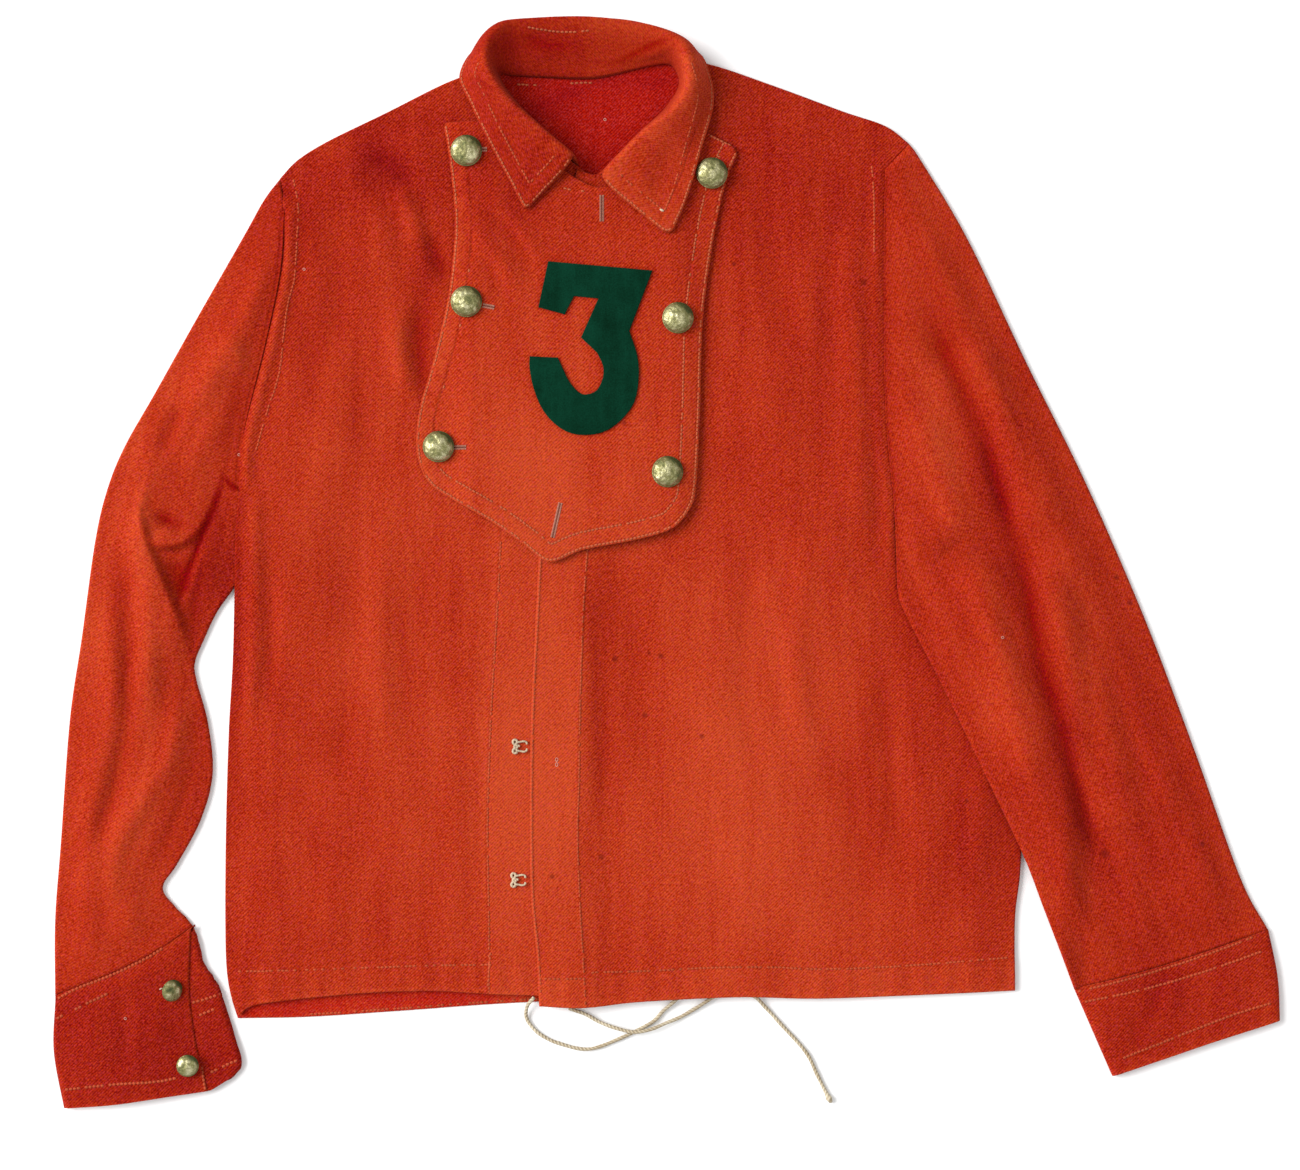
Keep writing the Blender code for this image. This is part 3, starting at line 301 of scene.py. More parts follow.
SLEEVE_R_SHADOWS = crease_rows(
    (0.62, 0.8, 4.2, *LOBE_RIM),
    (0.38, 4.5, 0.7, *FOREARM_RIDGE),
    (1.0, 1.6, 2.2, *UNDER_LAYER),
    (0.58, 6, 5, (-348, 38), (-337, 30), (-323, 24)),
    (0.45, 11, 8, (-334, 4), (-330, -8), (-328, -24)),
    (0.30, 9, 8, (-304, 50), (-308, 10), (-314, -30)),
    (0.30, 2.5, 2.5, (-312, 10), (-318, -18), (-322, -50)),
    (0.9, 1.6, 1.8, (-300, 60), (-296, 55), (-290, 50)),
    (0.22, 4, 4, (-286, 140), (-294, 100), (-300, 70)),
    (-0.3, 2, 6, (-356, 12), (-352, -6), (-346, -20)),
)
SLEEVE_L_SHADOWS = crease_rows(
    (0.30, 17, 17, (176, 226), (192, 170), (212, 100)),
    (0.22, 13, 12, (170, 180), (217, 78), (250, -40), (288, -200)),
    (0.08, 10, 10, (160, 10), (178, -36), (206, -96)),
    (0.12, 14, 14, (240, 60), (262, 0), (270, -50)),
)
SLEEVE_L_CREASES = crease_rows(
    (-3.2, 10, 10, (178, 166), (217, 88), (236, 20)),
    (-1.8, 4, 5, (216, 96), (224, 60), (240, 12)),
    (-3.2, 9, 10, (236, 20), (252, -44), (270, -110)),
    (-1.4, 3, 4, (244, -6), (250, -50), (262, -96)),
    (-3.0, 9, 10, (264, -90), (282, -160), (304, -206)),
    (-1.2, 4, 4, (262, -96), (276, -140), (290, -190)),
    (3.6, 14, 12, (168, 110), (204, 10)),
    (3.8, 14, 12, (204, 10), (252, -150)),
    (4.2, 18, 18, (206, 160), (262, 20)),
    (4.2, 20, 18, (262, 20), (316, -190)),
    (2.2, 14, 14, (330, -130), (372, -232)),
    (1.4, 9, 10, (172, 236), (190, 196), (206, 160)),
    (-1.6, 8, 8, (232, 120), (246, 70), (262, 40)),
    (-1.3, 7, 7, (226, -20), (240, -60), (262, -100)),
    (1.3, 7, 7, (276, -110), (288, -150), (298, -196)),
    (-1.5, 9, 9, (300, -60), (312, -110), (332, -170)),
    (1.5, 8, 7, (164, 20), (178, -30), (200, -76)),
    (-1.2, 8, 8, (344, -150), (352, -190), (366, -226)),
    (1.3, 8, 8, (262, -190), (276, -226), (292, -262)),
    (1.1, 9, 8, (312, -206), (322, -240), (334, -262)),
    (1.2, 7, 7, (184, 140), (196, 104)),
    (1.0, 9, 9, (290, 20), (304, -30)),
)
CUFF_L_CREASES = crease_rows(
    (-1.1, 4, 5, (337, -276), (333, -292), (328, -311)),
    (-0.9, 4, 4, (318, -302), (319, -331)),
    (0.7, 5, 6, (346, -280), (340, -306)),
    (0.6, 6, 6, (380, -276), (388, -306)),
)
CUFF_CREASES = crease_rows(
    (-0.9, 6, 6, (-372, -290), (-366, -318), (-372, -346)),
    (0.8, 6, 6, (-390, -300), (-388, -330)),
    (0.7, 6, 6, (-346, -300), (-342, -326)),
    (0.8, 9, 9, (-404, -318), (-380, -326), (-352, -322)),
    (-0.6, 7, 7, (-396, -300), (-370, -298), (-346, -286)),
    (0.6, 8, 8, (-376, -350), (-350, -344)),
)


@dataclass(frozen=True)
class Patch:
    """A soft patch where the cloth is painted paler, or darker where its amount is below 0. Most patches are
    fading; some are painted highlights and painted shade on folds.
    """

    x: float
    y: float
    reach_x: float
    reach_y: float
    amount: float


# Most rows are fading. The rows at (-174, 238), (-180, 144), (-228, 284), (-288, 140), (-355, 30) and (-350,
# -60) paint highlights on lit ridges and lobes; the rows at (-160, 206), (-166, 140) and (-306, 0) paint
# shade in folds and on the right sleeve's sunken lower layer.
FADE_AND_PAINTED_LIGHT = tuple(Patch(*row) for row in (
    (-180, -60, 90, 150, 0.20), (-174, 238, 5, 24, 0.20), (-180, 144, 6, 30, 0.18),
    (-160, 206, 7, 14, -0.25), (-166, 140, 5, 24, -0.22), (-105, -140, 22, 170, 0.50),
    (-72, -120, 22, 170, 0.48), (-46, -60, 10, 150, -0.22), (-70, 60, 90, 60, 0.32),
    (-60, 150, 110, 80, 0.12), (40, -200, 110, 90, 0.34), (60, -60, 80, 100, 0.30),
    (150, -250, 90, 50, 0.24), (-20, 260, 90, 60, -0.10), (-220, 270, 90, 40, -0.34),
    (110, 250, 90, 70, -0.22), (90, 100, 60, 90, -0.08), (205, -150, 40, 120, -0.30),
    (-395, -60, 24, 190, 0.10), (-334, 150, 12, 50, 0.20), (-288, 140, 14, 14, 0.20),
    (216, -104, 30, 60, 0.34), (190, 110, 22, 90, 0.28), (-228, 284, 18, 10, 0.30),
    (-350, -60, 8, 90, 0.16), (-355, 30, 5, 26, 0.26), (-360, -150, 30, 110, 0.20),
    (-330, 120, 40, 60, 0.16), (-306, 0, 22, 60, -0.30), (-360, -320, 90, 60, -0.20),
    (230, 20, 60, 160, -0.10), (330, -150, 60, 130, -0.12), (170, 170, 26, 110, 0.12),
    (350, -300, 80, 50, -0.06),
))

# Marks on the cloth: dark stains (x, y, size), pale rings (x, y) and short pale tacks
STAINS = ((-34.6, -63.8, 2.6), (-11.6, -59.6, 1.6), (-3.6, -61.8, 2.4), (-14.4, -101.9, 2.4),
          (24.3, -116.2, 2.2), (-77.3, -211, 2.2), (133.8, 191.4, 2.8), (297.6, -195.7, 4.0),
          (363.7, -189.5, 2.4), (305.6, -8.4, 2.2), (314.9, -25.6, 2.2), (46, 204, 2.0), (-28, 96, 1.8),
          (-44, -198, 2.4), (204, -160, 1.8))
RINGS = ((-41.5, 302.6), (-366.5, -307.4), (-245.5, 200.6), (-289.7, 74.8), (227, -49))
PLACKET_RINGS = ((-74.1, -131.9), (-74.1, -135.2))
COLLAR_TACK = [(-5.0, 240.4), (-1.2, 238.6)]
CUFF_TACK = [(-344.5, -288.2), (-340.5, -286.5)]

# Collar stations: seam x, y; roll x, y, z; edge x, y, z
COLLAR = [
    (-59, 271, -63, 275, 18, -94.8, 238.4, 14.0),
    (-80, 291, -84, 292, 21, -104, 256, 13.9),
    (-102, 314, -107, 313, 24, -119, 284, 13.6),
    (-112, 328, -119, 329, 26, -133, 313, 11.6),
    (-112, 333, -122, 346, 25, -140, 332, 7.4),
    (-104, 332, -114, 361, 20, -127, 350, 2.6),
    (-88, 331, -98, 367, 15, -100, 344, 1.4),
    (-50, 330, -52, 368, 13, -52, 336, 1.3),
    (-22, 336, -18, 364, 14, -10, 346, 1.4),
    (-2, 340, 5, 355, 19, 20, 348, 2.6),
    (6, 337, 13, 344, 25, 30, 332, 6.6),
    (9, 325, 16, 324, 26, 32, 311, 10.0),
    (-1, 309, 6, 306, 24, 24, 281, 13.6),
    (-20, 291, -15, 289, 21, 14, 247, 13.9),
    (-44, 264, -43, 262, 18, 2.5, 221, 14.0),
]
NECK_CENTRE = (-52.0, 312.0)

# Drawstring ends, as in the solids: (x, y, z)
CORD_A = [(-89.4, -293, 7.0), (-94, -299, 4.6), (-95, -307, 1.5), (-91, -314, 1.3), (-84, -320, 1.3),
          (-73, -325, 1.3), (-53, -329, 1.3), (-32, -322, 1.3), (-10, -311, 1.3), (-2, -303, 1.6),
          (7, -295, 3.1), (16, -286, 3.2)]
CORD_B = [(-66, -301, 3.3), (-55, -305, 2.4), (-44, -311, 2.2), (-32, -315, 3.4), (-21, -317, 4.3),
          (-10, -315, 4.2), (0, -311, 3.0), (10, -307, 1.5), (22, -300, 2.0), (33, -293, 3.2),
          (47, -288, 3.2), (60, -293, 3.0), (68, -301, 1.6), (78, -312, 1.3), (95, -331, 1.3),
          (103, -347, 1.3), (112, -365, 1.3)]
CORD = 2.4

# Rows of stitches: the points of each, and the share of its stitches that is left
RIGHT_HEM_ROW = [(-291, -276), (-240, -274.5), (-160, -271.5), (-118, -271)]
RIGHT_FRONT_ROWS = (
    ([(-253, 262), (-249.6, 243), (-250.4, 221), (-252.1, 195), (-256.4, 177.5), (-259, 160), (-262.5, 130),
      (-271, 103), (-278, 78)], 0.8),
    ([(-119, -262), (-121, -286)], 1.0),
)
LEFT_FRONT_ROWS = (
    ([(-54.5, -298), (-56, -270), (-58.5, -225), (-60, -180), (-59, -150), (-58, -92), (-56, -30),
      (-53, 14)], 0.92),
    ([(-51, -276), (-10, -275), (29, -273), (68, -272.5), (107, -274), (159, -272), (232, -266.5)], 0.8),
    ([(-86, -280), (-72, -280.2), (-57, -280)], 0.7),
    ([(139.5, 271), (141, 246), (141, 212)], 0.85),
)
BIB_TOP_ROWS = (([(29, 291), (49, 281.5)], 0.9), ([(26, 280), (37, 276)], 0.8))
NECK_ROWS = (
    ("collar_cloth", (([(-94, 363), (-80, 361), (-66, 360), (-52, 361)], 0.8),)),
    ("back_panel", (([(-101.5, 326.6), (-89, 326), (-77, 326.6)], 0.8),
                    ([(-65.5, 327.2), (-50, 327.6)], 0.8))),
    ("bib_panel", (([(-73, 255.8), (-64, 253.5), (-55, 252.7)], 0.7),
                   ([(-55, 260.5), (-49, 261.6), (-48, 254)], 0.8))),
)
LEFT_CUFF_ROWS = (
    ([(279, -289.5), (318, -279.5), (357, -267.5), (398, -252.5)], 0.92),
    ([(281, -297), (325, -287.5), (364, -276), (404, -262)], 0.9),
    ([(307, -335.5), (331, -326), (357, -315.5), (383, -305.5), (410, -297)], 0.92),
)
RIGHT_CUFF_ROWS = (
    ([(-413, -294.5), (-400, -287.5), (-373.5, -277), (-347.5, -264), (-328, -250)], 0.93),
    ([(-414, -308), (-400, -301), (-378.5, -290.5)], 0.85),
    ([(-408, -356), (-373.5, -352), (-347.5, -350.5), (-332, -348)], 0.9),
    ([(-322, -297), (-312, -294.5), (-302, -291)], 0.9),
    ([(-320, -307), (-298, -298)], 0.5),
    ([(-309.5, -344.5), (-291, -336)], 0.8),
    ([(-315.5, -340), (-312.5, -356)], 0.9),
)
BUTTONHOLES = (((-124, 175.5), (-116, 174)), ((-144, 79.5), (-135.5, 79.5)), ((-124.5, 281), (-121, 281)),
               ((-43.5, 250), (-43.5, 232.5)), ((-71.4, 42), (-76.8, 18.5)))

# A hook about its own middle: its two wound eyes in one line, and one prong of the two
HOOK_EYES = [(-0.4, 0.3), (-1.6, 0.6), (-3.0, 0.9), (-4.7, 2.0), (-5.3, 3.8), (-4.2, 5.0), (-2.6, 4.6),
             (-2.2, 3.0), (-3.2, 1.5), (-4.2, 0), (-3.2, -1.5), (-2.2, -3.0), (-2.6, -4.6), (-4.2, -5.0),
             (-5.3, -3.8), (-4.7, -2.0), (-3.0, -0.9), (-1.6, -0.6)]
HOOK_PRONG = [(-2.8, 3.0), (0.4, 3.5), (3.2, 3.9), (5.0, 3.0), (5.2, 1.7)]


# ---------------------------------------------------------------- curves, grids and heights


def ease(t: Array | float) -> Array:
    """0 below 0, 1 above 1, and a smooth run between them."""
    t = np.clip(t, 0.0, 1.0)
    return t * t * (3 - 2 * t)


def climb(value: Array | float, start: float, run: float) -> Array:
    """0 up to the start, 1 from a run past it, and a smooth rise between them."""
    return ease((value - start) / run)


def bell(off: Array, reach: Array | float, at: float = 0.0) -> Array:
    """1 at one value, and a round fall on both sides of it, to nearly 0 at twice the reach."""
    return np.exp(-(((off - at) / reach) ** 2))


def decay(off: Array, reach: float) -> Array:
    """1 at 0, and a fall to about a third at the reach."""
    return np.exp(-off / reach)


def smooth_line(points: Sequence[Sequence[float]], steps: int = 12) -> Array:
    """A dense line along a smooth curve through the points.

    Args:
        points: the points, of two or more coordinates each.
        steps: pieces between one point and the next.

    Returns:
        The line's points, one to a row.
    """
    knots = np.array(points, float)
    padded = np.vstack([2 * knots[0] - knots[1], knots, 2 * knots[-1] - knots[-2]])
    t = np.linspace(0, 1, steps, endpoint=False)[:, None]
    runs = []
    for p0, p1, p2, p3 in zip(padded[:-3], padded[1:-2], padded[2:-1], padded[3:]):
        bend = 2 * p1 + (p2 - p0) * t + (2 * p0 - 5 * p1 + 4 * p2 - p3) * t**2
        runs.append((bend + (3 * p1 - p0 - 3 * p2 + p3) * t**3) / 2)
    return np.vstack([*runs, knots[-1:]])


def corner_line(*routes: Sequence[Sequence[float]]) -> Array:
    """One dense line through several routes, with a corner where one meets the next."""
    return np.vstack([smooth_line(route) for route in routes])


def run_of(line: Array) -> Array:
    """How far along a line each of its points is."""
    return np.concatenate([[0.0], np.cumsum(np.linalg.norm(np.diff(line, axis=0), axis=1))])


def sample(line: Array, shares: Array) -> Array:
    """Points on a line at these shares of its length."""
    run = run_of(line)
    return np.stack([np.interp(shares * run[-1], run, line[:, k]) for k in range(line.shape[1])], axis=1)


def spaced(line: Array, step: float) -> Array:
    """Points on a line about a step apart."""
    return sample(line, np.linspace(0, 1, max(round(run_of(line)[-1] / step), 1) + 1))


def thickened(
    low: float, high: float, count: int, at: float, spread: float = 0.13, more: float = 1.6
) -> Array:
    """Numbers from low to high in count steps, the steps smaller near one place."""
    fine = np.linspace(low, high, 500)
    weight = 1 + more * bell(fine, spread, at)
    run = np.concatenate([[0], np.cumsum((weight[1:] + weight[:-1]) / 2)])
    return np.interp(np.linspace(0, run[-1], count + 1), run, fine)


def graded(length: float, step: float = STEP, near: Sequence[float] = NEAR_EDGE) -> Array:
    """Shares of a length: close together near both of its ends, and a step apart between them."""
    ends = np.array(near) / length
    middle = np.linspace(ends[-1], 1 - ends[-1], max(round((length - 2 * near[-1]) / step), 1) + 1)
    return np.concatenate([ends[:-1], middle, 1 - ends[-2::-1]])


def woven_patch(
    bottom: Array,
    top: Array,
    left: Array,
    right: Array,
    rows: Array,
    columns: Array,
    reach: float = 1.0,
) -> Array:
    """A grid between four edges, its rows straight but for the bends of the bottom and top edges.

    Args:
        bottom, top, left, right: dense lines, left and right from bottom to top.
        rows: the rows' shares of the left and right edges.
        columns: the columns' shares of the bottom and top edges.
        reach: the share of the height over which the bends fade.

    Returns:
        The grid [row, column, xy].
    """
    low, high = sample(bottom, columns), sample(top, columns)
    start, end = sample(left, rows)[:, None], sample(right, rows)[:, None]
    c, r = columns[None, :, None], rows[:, None, None]
    low_bend = low - (start[0] + c[0] * (end[0] - start[0]))
    high_bend = high - (start[-1] + c[0] * (end[-1] - start[-1]))
    straight = start + c * (end - start)
    return straight + np.clip(1 - r / reach, 0, 1) * low_bend + np.clip(1 - (1 - r) / reach, 0, 1) * high_bend


def off_line(line: Sequence[Sequence[float]], xy: Array) -> tuple[Array, Array, Array]:
    """Where points lie off a line of straight pieces.

    Returns:
        For each point its distance, its side (1 on the left, -1 on the right) and the run along the line.
    """
    line = np.array(line, float)[:, :2]
    near = np.full(xy.shape[:-1], np.inf)
    side = np.ones_like(near)
    along = np.zeros_like(near)
    run = 0.0
    for a, b in zip(line[:-1], line[1:]):
        d = b - a
        length = float(np.hypot(*d))
        if length == 0:
            continue
        t = np.clip(((xy - a) @ d) / length**2, 0, 1)
        off = xy - a - t[..., None] * d
        far = np.hypot(off[..., 0], off[..., 1])
        closer = far < near
        near = np.where(closer, far, near)
        cross = d[0] * (xy[..., 1] - a[1]) - d[1] * (xy[..., 0] - a[0])
        side = np.where(closer, np.where(cross > 0, 1.0, -1.0), side)
        along = np.where(closer, run + t * length, along)
        run += length
    return near, side, along


def distance(line: Sequence[Sequence[float]], xy: Array) -> Array:
    """How far points lie from a line."""
    return off_line(line, xy)[0]


def inside(outline: Route, xy: Array) -> Array:
    """Whether points lie within a closed outline."""
    within = np.zeros(xy.shape[:-1], bool)
    x, y = xy[..., 0], xy[..., 1]
    for (ax, ay), (bx, by) in zip(outline[:-1], outline[1:]):
        if ay != by:
            crosses = ((ay > y) != (by > y)) & (x < (bx - ax) * (y - ay) / (by - ay) + ax)
            within ^= crosses
    return within


def creased(creases: Sequence[Crease], xy: Array) -> Array:
    """The sum of the creases' heights at the points. Each fades in and out at its line's ends."""
    total = np.zeros(xy.shape[:-1])
    for crease in creases:
        line = smooth_line(crease.line, 5)
        near, side, along = off_line(line, xy)
        length = run_of(line)[-1]
        fade = min(0.3 * length, 26.0)
        ends = 0.25 + 0.75 * ease(along / fade) * ease((length - along) / fade)
        total += crease.height * ends * bell(near, np.where(side > 0, crease.left, crease.right))
    return total


def uneven(xy: Array, size: float, seed: int) -> Array:
    """Smooth unevenness of about -1 to 1: a few waves in set directions, each bent by the others."""
    rng = np.random.default_rng(seed)
    total = np.zeros(xy.shape[:-1])
    x, y = xy[..., 0] / size, xy[..., 1] / size
    for octave in range(7):
        angle, phase = rng.uniform(0, 2 * math.pi, 2)
        rate = 1.3 + 0.55 * octave
        wave = rate * (x * math.cos(angle) + y * math.sin(angle)) + phase + 0.9 * total
        total += np.sin(wave) / (1.6 + octave)
    return total / 1.6


def fade_and_painted_light(xy: Array) -> Array:
    """How pale the cloth is painted at the points, from 0 to 1: its fading, with the painted light and shade
    of some patches.
    """
    total = 0.36 + 0.10 * uneven(xy, 60.0, 5)
    for patch in FADE_AND_PAINTED_LIGHT:
        far = ((xy[..., 0] - patch.x) / patch.reach_x) ** 2 + ((xy[..., 1] - patch.y) / patch.reach_y) ** 2
        total = total + patch.amount * np.exp(-far)
    return np.clip(total, 0, 1)


def body_rise(xy: Array) -> Array:
    """How far the front of the body stands off its flat rest height."""
    rim = np.minimum.reduce([distance(route, xy) for route in BODY_RIMS])
    folds = creased(BODY_CREASES, xy) + 0.35 * uneven(xy, 26.0, 1) + 0.12 * uneven(xy, 9.0, 2)
    return np.maximum(DOME * ease(rim / DOME_RUN) + folds * ease(rim / FOLD_RUN), 0) + creased(BODY_LIFTS, xy)


def armhole_relief(off: Array) -> Array:
    """The groove of an armhole's seam, the ridge of its turned edges beside it, and the dip after that."""
    return sum(height * bell(off, reach, at) for height, reach, at in ARMHOLE_PROFILE)


def hem_ripple(hem: Array, xy: Array) -> Array:
    """The small ripples that its stitching pulls into the hem casing."""
    off = distance(hem, xy)
    band = ease(off / 4.0) * (1 - climb(off, 16, 12.0))
    waves = np.sin(2 * math.pi * xy[..., 0] / 17.0 + 1.6 * uneven(xy, 40.0, 9) + 0.04 * off)
    return 0.5 * band * waves * (0.6 + 0.4 * uneven(xy, 50.0, 10))


def casing_step(hem: Array, xy: Array) -> Array:
    """The extra height of the turned-up hem casing, which ends at its stitching."""
    return 0.5 * (1 - climb(distance(hem, xy), HEM_CASING, 3.0))


def right_front_z(xy: Array) -> Array:
    """Underside of the right front: doubled at its placket, past the stitching."""
    line = smooth_line(RIGHT_STITCH)
    past = xy[..., 0] - np.interp(xy[..., 1], line[:, 1], line[:, 0])
    return FRONT_LIES + body_rise(xy) + DOUBLED * ease(past / 4.0 + 1)


def left_front_z(xy: Array) -> Array:
    """Underside of the left front, which laps over the right one along its edge."""
    line = smooth_line(LEFT_EDGE)
    past = xy[..., 0] - np.interp(xy[..., 1], line[:, 1], line[:, 0]) - PLACKET_WIDTH
    lap = 1 - 0.22 * ease(past / 3.0) - 0.78 * climb(past, 2, 24.0)
    return FRONT_LIES + body_rise(xy) + LAP_RISE * lap


def bib_z(xy: Array) -> Array:
    """Underside of the bib: over the laps in its middle, and down on the fronts at its sides."""
    middle = climb(xy[..., 0], -152, 22) * (1 - climb(xy[..., 0], 4, 26))
    lies = BIB_SIDE_LIES + body_rise(xy) + (BIB_LIES - BIB_SIDE_LIES) * middle
    return lies + np.maximum(creased(BIB_CREASES, xy), -0.7) + 0.4


def on_table(xy: Array) -> Array:
    """The table's height."""
    return np.zeros(xy.shape[:-1])


def over_body(xy: Array) -> Array:
    """How high the left sleeve's lower layer lies: on the body, and down to the table beside it."""
    away = np.where(inside(UNDER_LEFT_SLEEVE, xy), 0.0, distance(UNDER_LEFT_SLEEVE, xy))
    return SLEEVE_OVER_BODY * (1 - climb(away, 26, 24)) * (1 - climb(xy[..., 1], 8, 34))


# ---------------------------------------------------------------- finishes


class Thread(Enum):
    """The threads that the shirt is sewn with, as linear colours."""

    TAN = (0.43, 0.088, 0.034)
    CREAM = (0.53, 0.41, 0.28)
    BROWN = (0.13, 0.042, 0.027)
    PALE = (0.55, 0.27, 0.22)
    DUSTY = (0.40, 0.17, 0.12)
    FADED = (0.42, 0.062, 0.020)


@dataclass(frozen=True)
class Groove:
    """A stitched groove: which of the piece's three seam distances it follows, and at what value."""

    channel: int
    at: float


class Nodes:
    """A short hand for building one material's node tree."""

    def __init__(self, name: str) -> None:
        """Starts a material with its shader.

        Args:
            name: the material's name.
        """
        self.material = bpy.data.materials.new(name)
        self.material.use_nodes = True
        self.tree = self.material.node_tree
        self.shader = self.tree.nodes["Principled BSDF"]

    def add(self, kind: str, settings: dict | None = None, **links: object) -> Node:
        """Adds a node.

        Args:
            kind: the node's type, without its ShaderNode prefix.
            settings: the node's own properties, by name.
            links: what goes into its sockets, by name or, as in_0, by number: a socket or a value.

        Returns:
            The node.
        """
        node = self.tree.nodes.new("ShaderNode" + kind)
        for key, value in (settings or {}).items():
            setattr(node, key, value)
        for key, value in links.items():
            at = int(key[3:]) if key.startswith("in_") else key.replace("_", " ")
            self.feed(node.inputs[at], value)
        return node

    def feed(self, socket: NodeSocket, value: object) -> None:
        """Puts a value or another socket into a socket."""
        if isinstance(value, NodeSocket):
            self.tree.links.new(value, socket)
        else:
            socket.default_value = value

    def finish(self, **links: object) -> Material:
        """Feeds the shader's sockets, by name, and gives the finished material."""
        for key, value in links.items():
            self.feed(self.shader.inputs[key.replace("_", " ")], value)
        return self.material

    def maths(self, what: str, *values: object, kind: str = "Math") -> Node:
        """One sum on numbers, or on vectors if the kind is VectorMath, by its name in capitals."""
        return self.add(kind, {"operation": what}, **{f"in_{i}": v for i, v in enumerate(values)})

    def plus(self, *values: object) -> Socket:
        """The sum of the values, added in turn."""
        total = values[0]
        for value in values[1:]:
            total = self.maths("ADD", total, value).outputs[0]
        return total

    def times(self, value: object, gain: object) -> Socket:
        """A value times a gain."""
        return self.maths("MULTIPLY", value, gain).outputs[0]

    def swing(self, value: object, gain: float, middle: float = 0.5) -> Socket:
        """How far a value lies off its middle, times a gain."""
        return self.times(self.maths("SUBTRACT", value, middle).outputs[0], gain)

    def wave(self, value: object) -> Socket:
        """A sine wave that goes from 0 to 1."""
        return self.plus(self.times(self.maths("SINE", value).outputs[0], 0.5), 0.5)

    def moved(self, vector: object, by: Sequence[float]) -> Socket:
        """A vector plus another."""
        return self.maths("ADD", vector, by, kind="VectorMath").outputs[0]

    def scaled(self, vector: object, by: Sequence[float]) -> Socket:
        """A vector times another, part by part."""
        return self.maths("MULTIPLY", vector, by, kind="VectorMath").outputs[0]

    def most(self, values: Sequence[Socket]) -> Socket:
        """The greatest of the values."""
        most = values[0]
        for value in values[1:]:
            most = self.maths("MAXIMUM", most, value).outputs[0]
        return most

    def ramp(
        self,
        value: object,
        low: float,
        high: float,
        to_low: float = 0.0,
        to_high: float = 1.0,
        smooth: bool = True,
    ) -> Socket:
        """A run from to_low to to_high while the value goes from low to high."""
        settings = {"interpolation_type": "SMOOTHSTEP" if smooth else "LINEAR"}
        node = self.add("MapRange", settings, in_0=value, in_1=low, in_2=high, in_3=to_low, in_4=to_high)
        return node.outputs[0]

    def mix(self, share: object, a: object, b: object) -> Socket:
        """A mix of two colours."""
        return self.add("Mix", {"data_type": "RGBA"}, in_0=share, in_6=a, in_7=b).outputs[2]

    def noise(self, where: object, scale: float, detail: float = 2.0, rough: float = 0.5) -> Socket:
        """A noise value from 0 to 1."""
        node = self.add("TexNoise", None, Vector=where, Scale=scale, Detail=detail, Roughness=rough)
        return node.outputs[0]

    def place(self) -> Socket:
        """The place on the object, in metres."""
        return self.add("TexCoord").outputs["Object"]

    def attribute(self, name: str, socket: str = "Fac") -> Socket:
        """One of the mesh's own attributes."""
        return self.add("Attribute", {"attribute_name": name}).outputs[socket]

    def bump(self, height: object, deep: float, strength: float = 0.8, over: Socket | None = None) -> Socket:
        """Bumps the shading by a height, on top of an earlier bump if one is given."""
        links = {"Height": height, "Distance": deep, "Strength": strength}
        if over is not None:
            links["Normal"] = over
        return self.add("Bump", None, **links).outputs[0]


def rgba(colour: Sequence[float], gain: float = 1.0) -> tuple[float, ...]:
    """A colour with full alpha, brighter or darker by a gain."""
    return (*(gain * part for part in colour), 1.0)


